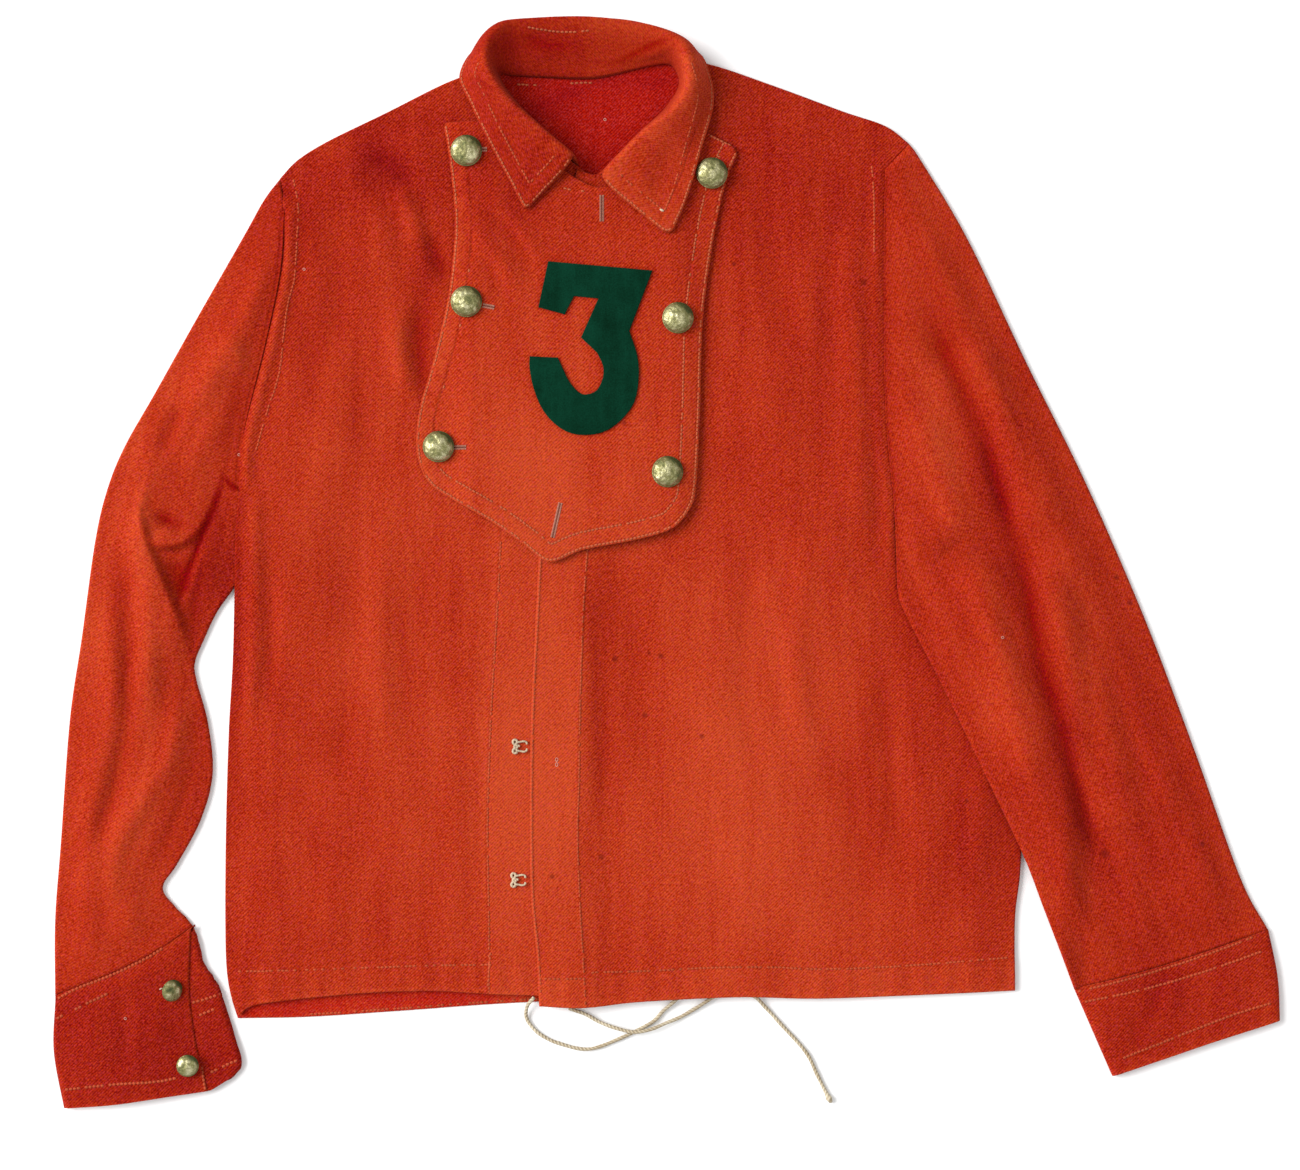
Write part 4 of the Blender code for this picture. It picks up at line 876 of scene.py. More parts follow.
@dataclass(frozen=True)
class Twill:
    """Napped red wool twill, paler where the piece's attributes paint fading, rubbing and light, and darker
    where they paint shade.

    The gains say how strongly each grain of the wool shows in its colour.
    """

    deep: Colour = (0.155, 0.0004, 0.00015)
    mid: Colour = (0.308, 0.0168, 0.0012)
    pale: Colour = (0.425, 0.0520, 0.0125)
    lint: Colour = (0.375, 0.0290, 0.0370)
    stain: Colour = (0.090, 0.004, 0.003)
    glow: Colour = (1.0, 0.28, 0.18)
    wale: float = 1.62
    pick: float = 0.95
    slope: float = 1.0
    turn: float = 0.0
    ribs: float = 1.0
    roughness: float = 0.9
    sheen: float = 0.08
    blotch_gain: float = 0.40
    streak_gain: float = 0.55
    fibre_gain: float = 0.40
    speck_gain: float = 2.9
    rib_gain: float = 0.52
    nap_gain: float = 0.7
    worn_gain: float = 0.62
    fleck_gain: float = 1.1
    mid_at: float = 0.42

    def material(self, name: str, grooves: Sequence[Groove] = ()) -> Material:
        """Builds the finish.

        Args:
            name: the material's name.
            grooves: the stitched grooves of the piece.

        Returns:
            The material.
        """
        n = Nodes(name)
        weave = n.attribute("weave", "Vector")
        axis = {"rotation_type": "Z_AXIS"}
        turned = n.add("VectorRotate", axis, Vector=weave, Angle=math.radians(self.turn)).outputs[0]
        wales, ribs = self.ribbing(n, weave, turned)
        speck = n.noise(weave, 0.62, 3.0, 0.8)
        nap = n.noise(weave, 0.30, 3.0, 0.6)
        level = self.level(n, weave, turned)
        level = n.plus(level, n.swing(speck, self.speck_gain), n.times(ribs, self.rib_gain))
        level = n.plus(level, n.swing(nap, self.nap_gain))
        # This attribute holds worn edges, and painted highlights on fold ridges and along the collar's roll
        worn = n.times(n.attribute("rub"), n.ramp(n.noise(weave, 0.16, 3.0), 0.25, 0.62))
        colour = self.coloured(n, weave, n.plus(level, n.times(worn, self.worn_gain)), wales)
        colour = n.mix(self.stained(n), colour, rgba(self.stain))
        height = n.plus(n.times(ribs, 0.55), n.times(speck, 0.55), n.times(nap, 0.5))
        normal = n.bump(height, 0.00026, 0.85)
        if grooves:
            dip = self.dip(n, grooves)
            pucker = n.times(dip, n.ramp(n.noise(weave, 0.33, 1.0), 0.2, 0.8, 0.6, 1.1))
            normal = n.bump(n.times(pucker, -1.0), 0.0004, over=normal)
            # Painted shade: the cloth drawn in along a groove is mixed a little towards its deep colour
            colour = n.mix(n.times(dip, 0.08), colour, rgba(self.deep))
        return n.finish(Base_Color=colour, Roughness=self.roughness, Sheen_Weight=self.sheen,
                        Sheen_Roughness=0.55, Sheen_Tint=rgba(self.glow), Specular_IOR_Level=0.03,
                        Normal=normal)

    def ribbing(self, n: Nodes, weave: Socket, turned: Socket) -> tuple[Socket, Socket]:
        """The twill's slanting wales, and its relief of wales and the picks that cross them."""
        split = n.add("SeparateXYZ", None, Vector=turned).outputs
        across = n.plus(split[0], n.times(split[1], -self.slope), n.times(n.noise(weave, 0.07, 2.0), 3.0))
        wales = n.wave(n.times(across, 2 * math.pi / (self.wale * math.hypot(1, self.slope))))
        along = n.plus(split[0], n.times(split[1], 0.45))
        picks = n.wave(n.times(along, 2 * math.pi / self.pick))
        return wales, n.swing(n.times(wales, n.plus(n.times(picks, 0.35), 0.65)), self.ribs, 0.4)

    def level(self, n: Nodes, weave: Socket, turned: Socket) -> Socket:
        """How pale the cloth is: the fade attribute, which holds fading with some painted light and shade,
        with its blotches and the streaks along its grain.
        """
        streak = n.noise(n.scaled(turned, (1.0, 0.16, 1.0)), 0.055, 3.0, 0.6)
        fibres = n.noise(n.scaled(turned, (1.0, 0.10, 1.0)), 0.15, 2.0, 0.5)
        blotch = n.noise(weave, 0.022, 4.0, 0.6)
        return n.plus(n.attribute("fade"), n.swing(blotch, self.blotch_gain),
                      n.swing(streak, self.streak_gain), n.swing(fibres, self.fibre_gain))

    def coloured(self, n: Nodes, weave: Socket, level: Socket, wales: Socket) -> Socket:
        """The dyed colour at this level of paleness, with lint and flecks on it, and painted shade mixed in
        where the shade attribute says.
        """
        colour = n.mix(n.ramp(level, -0.25, self.mid_at, smooth=False), rgba(self.deep), rgba(self.mid))
        colour = n.mix(n.ramp(level, self.mid_at, 1.10, smooth=False), colour, rgba(self.pale))
        lint = n.noise(n.moved(weave, (31.0, 17.0, 5.0)), 0.75, 2.0, 0.7)
        colour = n.mix(n.ramp(lint, 0.50, 0.66, 0.0, 0.55, smooth=False), colour, rgba(self.lint))
        fleck = n.swing(n.noise(weave, 0.55, 2.0, 0.7), self.fleck_gain)
        fleck = n.plus(fleck, n.swing(wales, 0.15 * self.ribs))
        colour = n.add("HueSaturation", None, Color=colour, Value=n.plus(fleck, 1.0)).outputs[0]
        # Painted shade: a darker, redder copy of the colour, mixed in by the shade attribute
        darker = n.add("HueSaturation", None, Color=colour, Hue=0.494, Saturation=1.22, Value=0.62).outputs[0]
        return n.mix(n.attribute("shade"), colour, darker)

    def stained(self, n: Nodes) -> Socket:
        """How stained the cloth is, with a soft dab at each mark."""
        flat = n.scaled(n.place(), (1, 1, 0.02))
        dabs = []
        for x, y, size in STAINS:
            spot = n.add("CombineXYZ", None, X=x * MM, Y=y * MM).outputs[0]
            far = n.maths("DISTANCE", flat, spot, kind="VectorMath").outputs["Value"]
            dabs.append(n.ramp(far, size * 0.3 * MM, size * 1.1 * MM + 0.0002, 0.55, 0.0))
        return n.most(dabs)

    def dip(self, n: Nodes, grooves: Sequence[Groove]) -> Socket:
        """How deep the cloth is drawn in along its stitched grooves, each 2 mm wide to a side."""
        seams = n.add("SeparateXYZ", None, Vector=n.attribute("seams", "Vector")).outputs
        cuts = []
        for groove in grooves:
            off = n.maths("SUBTRACT", seams[groove.channel], groove.at).outputs[0]
            cuts.append(n.ramp(n.maths("ABSOLUTE", off).outputs[0], 0.0, 2.0, 1.0, 0.0))
        return n.most(cuts)


@dataclass(frozen=True)
class Felt:
    """Thick dark green felt with a matted surface."""

    dark: Colour = (0.0004, 0.0125, 0.0050)
    light: Colour = (0.0020, 0.0360, 0.0185)
    roughness: float = 0.93
    sheen: float = 0.02

    def material(self, name: str) -> Material:
        """Builds the finish under this name."""
        n = Nodes(name)
        place = n.place()
        fibres = n.noise(place, 900.0, 4.0, 0.7)
        matted = n.noise(place, 60.0, 3.0, 0.6)
        streak = n.noise(n.scaled(place, (1.0, 0.14, 1.0)), 110.0)
        level = n.plus(n.times(fibres, 0.75), n.times(matted, 0.5), n.swing(streak, 0.5))
        colour = n.mix(n.ramp(level, 0.30, 0.95), rgba(self.dark), rgba(self.light))
        return n.finish(Base_Color=colour, Roughness=self.roughness, Sheen_Weight=self.sheen,
                        Sheen_Roughness=0.5, Specular_IOR_Level=0.03,
                        Normal=n.bump(n.plus(fibres, matted), 0.0005))


@dataclass(frozen=True)
class Brass:
    """Old stamped brass, its tone led by the button's high attribute: bright where that paints light on the
    dome and where the brass is rubbed, and the dark green of tarnish where it paints shade round the rim and
    on its upper right.
    """

    bright: Colour = (0.56, 0.525, 0.31)
    dull: Colour = (0.205, 0.194, 0.072)
    tarnish: Colour = (0.045, 0.062, 0.012)

    def material(self, name: str) -> Material:
        """Builds the finish under this name."""
        n = Nodes(name)
        place = n.place()
        smooth = {"feature": "SMOOTH_F1"}
        dents = n.add("TexVoronoi", smooth, Vector=place, Scale=420.0, Smoothness=0.6).outputs[0]
        grain = n.noise(place, 1000.0, 4.0, 0.65)
        cloud = n.noise(place, 150.0, 3.0, 0.6)
        # The high attribute paints light and shade: bright on the dome's face, shaded round the rim and on
        # its upper right
        level = n.plus(n.swing(grain, 1.1), n.attribute("high"), n.swing(cloud, 1.0))
        colour = n.mix(n.ramp(level, -0.05, 0.50), rgba(self.tarnish), rgba(self.dull))
        colour = n.mix(n.ramp(level, 0.40, 1.05), colour, rgba(self.bright))
        relief = n.plus(n.times(dents, 0.9), n.times(grain, 0.5))
        return n.finish(Base_Color=colour, Metallic=n.ramp(level, 0.0, 0.6, 0.4, 0.75),
                        Roughness=n.ramp(level, 0.0, 1.0, 0.58, 0.40), Normal=n.bump(relief, 0.0007, 0.9))


@dataclass(frozen=True)
class Sewing:
    """Sewing thread of one colour, soiled a little along its length."""

    thread: Thread
    soiled: float = 0.72
    roughness: float = 0.8

    def material(self, name: str) -> Material:
        """Builds the finish under this name."""
        n = Nodes(name)
        place = n.place()
        level = n.plus(n.noise(place, 45.0, 3.0), n.times(n.noise(place, 900.0), 0.5))
        dark, clean = rgba(self.thread.value, self.soiled), rgba(self.thread.value)
        return n.finish(Base_Color=n.mix(n.ramp(level, 0.45, 1.0), dark, clean), Roughness=self.roughness,
                        Specular_IOR_Level=0.2, Normal=n.bump(n.noise(place, 1600.0), 0.0002))


@dataclass(frozen=True)
class Cotton:
    """Soft cream cotton cord, its strands twisted round it."""

    clean: Colour = (0.56, 0.49, 0.36)
    grubby: Colour = (0.31, 0.24, 0.15)
    roughness: float = 0.85

    def material(self, name: str) -> Material:
        """Builds the finish under this name."""
        n = Nodes(name)
        twist = n.add("SeparateXYZ", None, Vector=n.attribute("weave", "Vector")).outputs
        strand = n.wave(n.plus(n.times(twist[0], 2.4), n.times(twist[1], 2.0)))
        dirt = n.noise(n.place(), 60.0, 3.0, 0.6)
        level = n.plus(n.times(strand, 0.25), n.times(dirt, 0.9))
        colour = n.mix(n.ramp(level, 0.35, 0.85), rgba(self.grubby), rgba(self.clean))
        return n.finish(Base_Color=colour, Roughness=self.roughness, Specular_IOR_Level=0.15,
                        Normal=n.bump(strand, 0.0004))


@dataclass(frozen=True)
class PlainPale:
    """The plain pale surface that the shirt lies on."""

    colour: Colour = (0.90, 0.90, 0.90)

    def material(self, name: str) -> Material:
        """Builds the finish under this name."""
        n = Nodes(name)
        soft = n.ramp(n.noise(n.place(), 3.0), 0.2, 0.8)
        return n.finish(Base_Color=n.mix(soft, rgba(self.colour), rgba(self.colour, 0.985)), Roughness=0.9,
                        Specular_IOR_Level=0.05)


# ---------------------------------------------------------------- making pieces


@dataclass
class Surface:
    """A grid of cloth points with what its finish reads at each."""

    points: Array
    weave: Array
    # Fading, with painted light and shade from some patches
    fade: Array
    # Wear, with painted highlights on fold ridges and along the collar's roll
    rub: Array
    # Painted shade
    shade: Array
    seams: Array

    def layers(self) -> dict[str, Array]:
        """The attributes by name, one row to a point."""
        return {
            "weave": self.weave.reshape(-1, self.weave.shape[-1]),
            "seams": self.seams.reshape(-1, 3),
            "fade": self.fade.reshape(-1),
            "rub": self.rub.reshape(-1),
            "shade": self.shade.reshape(-1),
        }


def store(mesh: Mesh, name: str, values: Array) -> None:
    """Keeps one value or vector a point as the mesh's attribute."""
    flat = values.ndim == 1
    made = mesh.attributes.new(name, "FLOAT" if flat else "FLOAT_VECTOR", "POINT")
    if not flat and values.shape[1] == 2:
        values = np.hstack([values, np.zeros((len(values), 1))])
    made.data.foreach_set("value" if flat else "vector", values.astype(np.float32).ravel())


def mesh_of(name: str, cloth: BMesh) -> Mesh:
    """Makes a mesh of what was built, and lets go of the working copy."""
    mesh = bpy.data.meshes.new(name)
    cloth.to_mesh(mesh)
    cloth.free()
    return mesh


def grid_mesh(name: str, grids: Sequence[Array], layers: dict[str, Array]) -> Mesh:
    """A mesh of one or more grids of the same kind of points, joined where their points coincide.

    Args:
        name: the mesh's name.
        grids: points [row, column, xyz] in millimetres. Every second grid is turned over.
        layers: attributes, for the points of all grids in turn.

    Returns:
        The mesh, with its doubles merged.
    """
    cloth = bmesh.new()
    for k, points in enumerate(grids):
        rows, columns = points.shape[:2]
        made = bmesh.ops.create_grid(cloth, x_segments=columns - 1, y_segments=rows - 1, size=1)
        for vertex, point in zip(made["verts"], points.reshape(-1, 3)):
            vertex.co = point * MM
        if k % 2:
            bmesh.ops.reverse_faces(cloth, faces=list({f for v in made["verts"] for f in v.link_faces}))
    mesh = mesh_of(name, cloth)
    for key, values in layers.items():
        store(mesh, key, values)
    cloth = bmesh.new()
    cloth.from_mesh(mesh)
    bmesh.ops.remove_doubles(cloth, verts=cloth.verts, dist=1e-6)
    bmesh.ops.dissolve_degenerate(cloth, edges=cloth.edges, dist=1e-7)
    bmesh.ops.recalc_face_normals(cloth, faces=cloth.faces)
    cloth.to_mesh(mesh)
    cloth.free()
    mesh.shade_smooth()
    return mesh


def piece(name: str, mesh: Mesh, material: Material) -> Object:
    """Puts a mesh in the scene as one piece of the shirt.

    Args:
        name: the piece's name.
        mesh: its mesh, in place.
        material: its finish.

    Returns:
        The object, riding on the shirt's one body.
    """
    mesh.materials.clear()
    mesh.materials.append(material)
    made = bpy.data.objects.new(name, mesh)
    bpy.context.scene.collection.objects.link(made)
    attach(made, "root")
    LOG.info("%s: %d faces", name, len(mesh.polygons))
    return made


def rounded(off: Array, radius: float) -> Array:
    """A round edge's share of the full half thickness, by the distance from the edge."""
    return np.sqrt(np.clip(1 - (1 - np.clip(off / radius, 0, 1)) ** 2, 0, 1))


def grid_normals(points: Array) -> Array:
    """Unit normals of a grid, up for one whose rows go +Y and columns +X."""
    down, across = np.gradient(points, axis=(0, 1))
    normals = np.cross(across, down)
    return normals / np.maximum(np.linalg.norm(normals, axis=-1, keepdims=True), 1e-9)


def rim_run(points: Array) -> Array:
    """How far each point of a grid lies from the grid's rim, along its row or column."""
    across = np.linalg.norm(np.diff(points, axis=1), axis=-1)
    along = np.linalg.norm(np.diff(points, axis=0), axis=-1)
    zero_c, zero_r = np.zeros((points.shape[0], 1)), np.zeros((1, points.shape[1]))
    left = np.hstack([zero_c, np.cumsum(across, axis=1)])
    low = np.vstack([zero_r, np.cumsum(along, axis=0)])
    return np.minimum.reduce([left, left[:, -1:] - left, low, low[-1:] - low])


def round_corner(points: Array, last_row: bool, last_column: bool, radius: float) -> Array:
    """Rounds one corner of a grid by drawing the points near it in.

    Args:
        points: the grid [row, column, xyz].
        last_row, last_column: which corner.
        radius: the radius of the rounding.

    Returns:
        The grid with the corner rounded.
    """
    made = points[:: -1 if last_row else 1, :: -1 if last_column else 1].copy()
    rows = run_of(made[:, 0])
    columns = run_of(made[0])
    r0, c0 = int(np.searchsorted(rows, radius)), int(np.searchsorted(columns, radius))
    a = np.clip(radius - rows[: r0 + 1], 0, None)[:, None]
    b = np.clip(radius - columns[: c0 + 1], 0, None)[None, :]
    toward_row = made[0, c0] - made[r0, c0]
    toward_column = made[r0, 0] - made[r0, c0]
    toward_row /= np.linalg.norm(toward_row)
    toward_column /= np.linalg.norm(toward_column)
    scale = np.maximum(a, b) / np.maximum(np.hypot(a, b), 1e-9)
    shift = (scale - 1)[..., None] * (a[..., None] * toward_row + b[..., None] * toward_column)
    made[: r0 + 1, : c0 + 1] += np.where((a > 0)[..., None] & (b > 0)[..., None], shift, 0)
    return made[:: -1 if last_row else 1, :: -1 if last_column else 1]


def slab(name: str, cloth: Surface, wall: float, upright: bool = True) -> Mesh:
    """A closed sheet with a round edge about a surface of middle points.

    Args:
        name: the mesh's name.
        cloth: the middle of the cloth.
        wall: its thickness.
        upright: thicken it straight up and down, where it lies nearly flat.

    Returns:
        The mesh.
    """
    half = wall / 2 * rounded(rim_run(cloth.points), wall * 0.65)[..., None]
    out = np.array([0.0, 0.0, 1.0]) if upright else grid_normals(cloth.points)
    both = {key: np.concatenate([values, values]) for key, values in cloth.layers().items()}
    return grid_mesh(name, [cloth.points + out * half, cloth.points - out * half], both)


@dataclass
class Dropper:
    """Finds the cloth straight below a place, on one piece as it is finally shaped."""

    carrier: Object

    def __post_init__(self) -> None:
        """Reads the carrier's finished mesh."""
        seen = bpy.context.evaluated_depsgraph_get()
        self.tree = BVHTree.FromObject(self.carrier, seen)

    def drop(self, x: float, y: float) -> tuple[Vector, Vector] | None:
        """The point and normal of the cloth under (x, y) in millimetres, or None beside it."""
        point, normal, _, _ = self.tree.ray_cast(Vector((x * MM, y * MM, 0.1)), Vector((0, 0, -1)))
        if point is None:
            return None
        return point, normal if normal.z > 0 else -normal


@dataclass
class Stitching:
    """Rows of stitches on one piece of cloth.

    long and wide are a stitch's full size, and high is half its thickness. Its middle stands off the
    cloth by a share of that, raised. gap is the room between two stitches, below 0 where they overlap.
    """

    name: str
    carrier: Object
    thread: Thread = Thread.TAN
    long: float = 2.5
    wide: float = 1.7
    high: float = 0.32
    raised: float = 0.18
    gap: float = 0.18
    seed: int = 3
    sides: int = 5
    cloth: BMesh = field(default_factory=bmesh.new)

    def __post_init__(self) -> None:
        """Gets ready to lay stitches on the carrier."""
        self.surface = Dropper(self.carrier)
        self.rng = np.random.default_rng(self.seed)

    def one(self, start: tuple[Vector, Vector], end: tuple[Vector, Vector]) -> None:
        """One stitch between two points of the cloth, a small rounded lozenge half sunk in it."""
        along = (end[0] - start[0]).normalized()
        up = (start[1] + end[1]).normalized()
        side = up.cross(along).normalized()
        up = along.cross(side)
        middle = (start[0] + end[0]) / 2 + up * self.high * self.raised * MM
        turn = Matrix((along, side, up)).transposed().to_4x4()
        size = Matrix.Diagonal((self.long / 2 * MM, self.wide / 2 * MM, self.high * MM, 1.0))
        matrix = Matrix.Translation(middle) @ turn @ size
        bmesh.ops.create_uvsphere(self.cloth, u_segments=self.sides, v_segments=4, radius=1.0,
                                  matrix=matrix @ Matrix.Rotation(math.pi / 2, 4, "Y"))

    def row(self, line: Array, keep: float = 1.0, wander: float = 0.12) -> None:
        """A row of stitches.

        Args:
            line: where it runs, points of (x, y).
            keep: the share of stitches that are left, where some have worn away.
            wander: how far a stitch may stand off the line.
        """
        pitch = self.long + self.gap
        run = run_of(line)
        count = max(int(run[-1] / pitch), 1)
        for i in range(count):
            jitter = self.rng.uniform(-1, 1, 4)
            if self.rng.uniform() > keep:
                continue
            starts = (i + 0.1 + 0.03 * jitter[0]) / count
            ends = starts + self.long / pitch * (0.96 + 0.06 * jitter[1]) / count
            a, b = sample(line, np.array([starts, min(ends, 1.0)]))
            off = np.array([a[1] - b[1], b[0] - a[0]])
            off = off / max(np.linalg.norm(off), 1e-9) * wander * jitter[2]
            first, last = self.surface.drop(*(a + off)), self.surface.drop(*(b + off))
            if first and last and (last[0] - first[0]).length < 2 * self.long * MM:
                self.one(first, last)

    def curves(self, table: Sequence[tuple[Route, float]]) -> None:
        """Rows of stitches along smooth curves, from a table of their points and the shares that are left."""
        for points, keep in table:
            self.row(smooth_line(points), keep)

    def finish(self) -> Object | None:
        """Makes the rows laid so far one piece."""
        if not self.cloth.verts:
            return None
        mesh = mesh_of(self.name, self.cloth)
        mesh.shade_smooth()
        material = Sewing(self.thread).material(f"{self.thread.name.lower()}_thread_{self.name}")
        return piece(self.name, mesh, material)


def inset(line: Array, depth: float, from_lines: Sequence[Array]) -> Array:
    """A line moved to its left by a depth, without what would come nearer than that to any edge."""
    step = np.gradient(line, axis=0)
    normal = np.stack([-step[:, 1], step[:, 0]], axis=1)
    normal /= np.maximum(np.linalg.norm(normal, axis=1, keepdims=True), 1e-9)
    moved = line + normal * depth
    off = np.minimum.reduce([distance(edge, moved) for edge in from_lines])
    return moved[off > abs(depth) - 0.2]


# ---------------------------------------------------------------- the body


def cloth_surface(
    xyz: Array,
    seams: Sequence[Array],
    rub: Array | float = 0.0,
    shade: Array | float = 0.0,
    paler_by: float = 0.0,
    weave: Array | None = None,
) -> Surface:
    """Puts together a surface and its attributes.

    Args:
        xyz: the grid of points.
        seams: up to three grids of seam distances.
        rub: how much paler the cloth is painted, from 0 to 1: where it is rubbed, and painted highlights on
            the ridges of its folds and along the collar's roll.
        shade: painted shade, from 0 to 1, mostly where the cloth lies in a fold or hollow.
        paler_by: what is added to how pale the whole piece is painted.
        weave: the cloth's own coordinates, if they aren't X and Y.

    Returns:
        The surface.
    """
    shape = xyz.shape[:2]
    padded = [*seams, *[np.full(shape, 999.0)] * (3 - len(seams))]
    full = np.zeros(shape)
    return Surface(
        xyz,
        xyz[..., :2] if weave is None else weave,
        np.clip(fade_and_painted_light(xyz[..., :2]) + paler_by, 0, 1),
        np.clip(full + rub, 0, 1),
        np.clip(full + shade, 0, 1),
        np.stack(padded, axis=-1),
    )


def hollow_shade(creases: Sequence[Crease], xy: Array, full: float = 3.0) -> Array:
    """How much of the light the folds keep from the cloth."""
    return np.clip(-creased(creases, xy) / full, 0, 1) * 0.8


def ridge_highlight(creases: Sequence[Crease], xy: Array) -> Array:
    """How much paler the tops of the folds are painted: a painted highlight on their ridges."""
    return np.clip(creased(creases, xy) / 9.0, 0, 0.35)


@dataclass
class Body:
    """The back and the two fronts, with their plackets, hem casing and stitching.

    Each size is the length and width over which a panel's points are spread, a step apart.
    """

    red: Twill = field(default_factory=Twill)
    step: float = STEP
    back_step: float = 6.0
    back_size: tuple[float, float] = (620, 535)
    right_size: tuple[float, float] = (640, 232)
    left_size: tuple[float, float] = (620, 300)
    hidden_edge: float = 28.0
    facing: float = 32.0

    def build(self) -> None:
        """Builds the three panels and their stitching."""
        self.back()
        self.right_front()
        self.left_front()

    def back(self) -> None:
        """The back, flat on the table. Its inside shows in the neck, and its hem below the right front."""
        right = corner_line(BACK_RIGHT_SIDE, RIGHT_ARMHOLE[1:], [RIGHT_ARMHOLE[-1], RIGHT_TIP])
        left = corner_line(LEFT_SIDE, LEFT_UNDERARM, LEFT_ARMHOLE, [LEFT_ARMHOLE[-1], LEFT_TIP])
        top = corner_line(RIGHT_SHOULDER, BACK_NECK, LEFT_SHOULDER)
        # Under the collar its edge runs a little further up, so that no gap shows at the neck seam
        under_collar = np.exp(-(((top[:, 0] + 53.0) / 72.0) ** 8)) * (top[:, 1] > 320)
        top = top + np.outer(under_collar, (0.0, 7.0))
        hem = smooth_line(BACK_HEM)
        shares = (graded(size, self.back_step) for size in self.back_size)
        grid = woven_patch(hem, top, right, left, *shares, reach=0.3)
        off = np.hypot(grid[..., 0] - NECK_CENTRE[0], grid[..., 1] - NECK_CENTRE[1])
        folds = creased(NECK_CREASES, grid) * climb(grid[..., 1], 290, 20) + 0.6 * bell(off, 44.0)
        z = CLOTH / 2 + np.maximum(folds, 0)
        hem_off, neck_off = distance(hem, grid), distance(BACK_NECK, grid)
        rub = 0.8 * decay(hem_off, 3.0)
        shade = creased(NECK_SHADOWS, grid)
        surface = cloth_surface(np.dstack([grid, z]), [hem_off, neck_off], rub, shade, -0.1)
        surface.fade = np.clip(surface.fade - 0.45 * ease(np.clip(1 - neck_off / 120.0, 0, 1) * 2), 0, 1)
        inner = Twill(deep=(0.205, 0.0006, 0.0002), mid=(0.350, 0.0095, 0.0015))
        material = inner.material("red_twill_back", [Groove(0, HEM_CASING)])
        made = piece("back_panel", slab("back_panel", surface, CLOTH - 0.1), material)
        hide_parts("back")
        rows = Stitching("stitching_back", made, Thread.FADED, seed=11)
        rows.row(spaced(inset(hem, 1.8, [hem])[12:70], 1.0), 0.7)
        rows.finish()

    def right_front(self) -> None:
        """The right front: the main panel, and the placket that goes under the lap."""
        side = corner_line(RIGHT_SIDE, RIGHT_ARMHOLE, [RIGHT_ARMHOLE[-1], RIGHT_TIP])
        stitch = smooth_line(RIGHT_STITCH)
        edge = smooth_line(LEFT_EDGE) + [self.hidden_edge, 0.0]
        hem = corner_line(RIGHT_HEM, [(-120, -291), (-58, -293)])
        top = corner_line(RIGHT_SHOULDER, RIGHT_NECK)
        grid = woven_patch(hem, top, side, edge, *(graded(size, self.step) for size in self.right_size))
        high = grid[..., 1]
        hem_off = distance(hem, grid)
        armhole = distance(smooth_line(RIGHT_ARMHOLE), grid)
        z = right_front_z(grid) + CLOTH / 2 + casing_step(hem, grid) + hem_ripple(hem, grid)
        z += armhole_relief(armhole) * climb(high, 40, 30)
        past = grid[..., 0] - np.interp(high, stitch[:, 1], stitch[:, 0])
        rub = 0.9 * decay(hem_off, 2.2) + ridge_highlight(BODY_CREASES, grid)
        rub += 0.34 * bell(armhole, 2.6, 5.5) * climb(high, 40, 60)
        shade = hollow_shade(BODY_CREASES, grid) + 0.5 * bell(armhole, 2.0)
        shade += 0.28 * bell(armhole, 4.0, 14.0) * climb(high, 60, 60)
        shade += 0.35 * bell(distance(RIGHT_SIDE[3:], grid), 6.0)
        surface = cloth_surface(np.dstack([grid, z]), [past, hem_off, armhole], rub, shade)
        surface.fade += 0.05 * (1 - climb(hem_off, 18, 5))
        material = self.red.material("red_twill_right_front", [Groove(0, 0.0), Groove(1, HEM_STITCH)])
        made = piece("right_front", slab("right_front", surface, CLOTH), material)
        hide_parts("front_right")
        rows = Stitching("stitching_right_front", made, Thread.FADED, seed=12)
        rows.row(stitch[: int(len(stitch) * 0.66)], 0.9)
        rows.row(np.array(RIGHT_HEM_ROW), 0.75)
        rows.curves(RIGHT_FRONT_ROWS)
        rows.finish()

    def left_front(self) -> None:
        """The left front, whose placket laps the right one."""
        edge = smooth_line(LEFT_EDGE)
        side = corner_line(LEFT_SIDE, LEFT_UNDERARM, LEFT_ARMHOLE, [LEFT_ARMHOLE[-1], LEFT_TIP])
        hem = smooth_line(LEFT_HEM)
        top = corner_line([LEFT_EDGE[-1], LEFT_NECK[0]], LEFT_NECK, LEFT_SHOULDER)
        grid = woven_patch(hem, top, edge, side, *(graded(size, self.step) for size in self.left_size))
        hem_off, off = distance(hem, grid), distance(edge, grid)
        armhole = distance(smooth_line(LEFT_ARMHOLE), grid)
        z = left_front_z(grid) + CLOTH / 2 + casing_step(hem, grid) + hem_ripple(hem, grid)
        z += 0.5 * armhole_relief(armhole) * climb(grid[..., 1], -10, 30)
        rub = 0.9 * decay(hem_off, 2.2) + 0.9 * decay(off, 1.8) + ridge_highlight(BODY_CREASES, grid)
        sleeve = distance(smooth_line(SLEEVE_L_INNER), grid)
        shade = hollow_shade(BODY_CREASES, grid) + 0.45 * decay(sleeve, 10.0) + 0.2 * decay(armhole, 8.0)
        surface = cloth_surface(np.dstack([grid, z]), [off, hem_off, armhole], rub, shade)
        surface.fade += 0.16 * (1 - climb(hem_off, 18, 5))
        grooves = [Groove(0, EDGE_STITCH), Groove(0, self.facing), Groove(1, HEM_STITCH)]
        material = self.red.material("red_twill_left_front", grooves)
        made = piece("left_front", slab("left_front", surface, CLOTH), material)
        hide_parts("front_left")
        rows = Stitching("stitching_left_front", made, Thread.FADED, seed=13)
        rows.row((edge + [EDGE_STITCH, 0])[3:62], 0.95)
        rows.curves(LEFT_FRONT_ROWS)
        rows.finish()


# ---------------------------------------------------------------- the bib


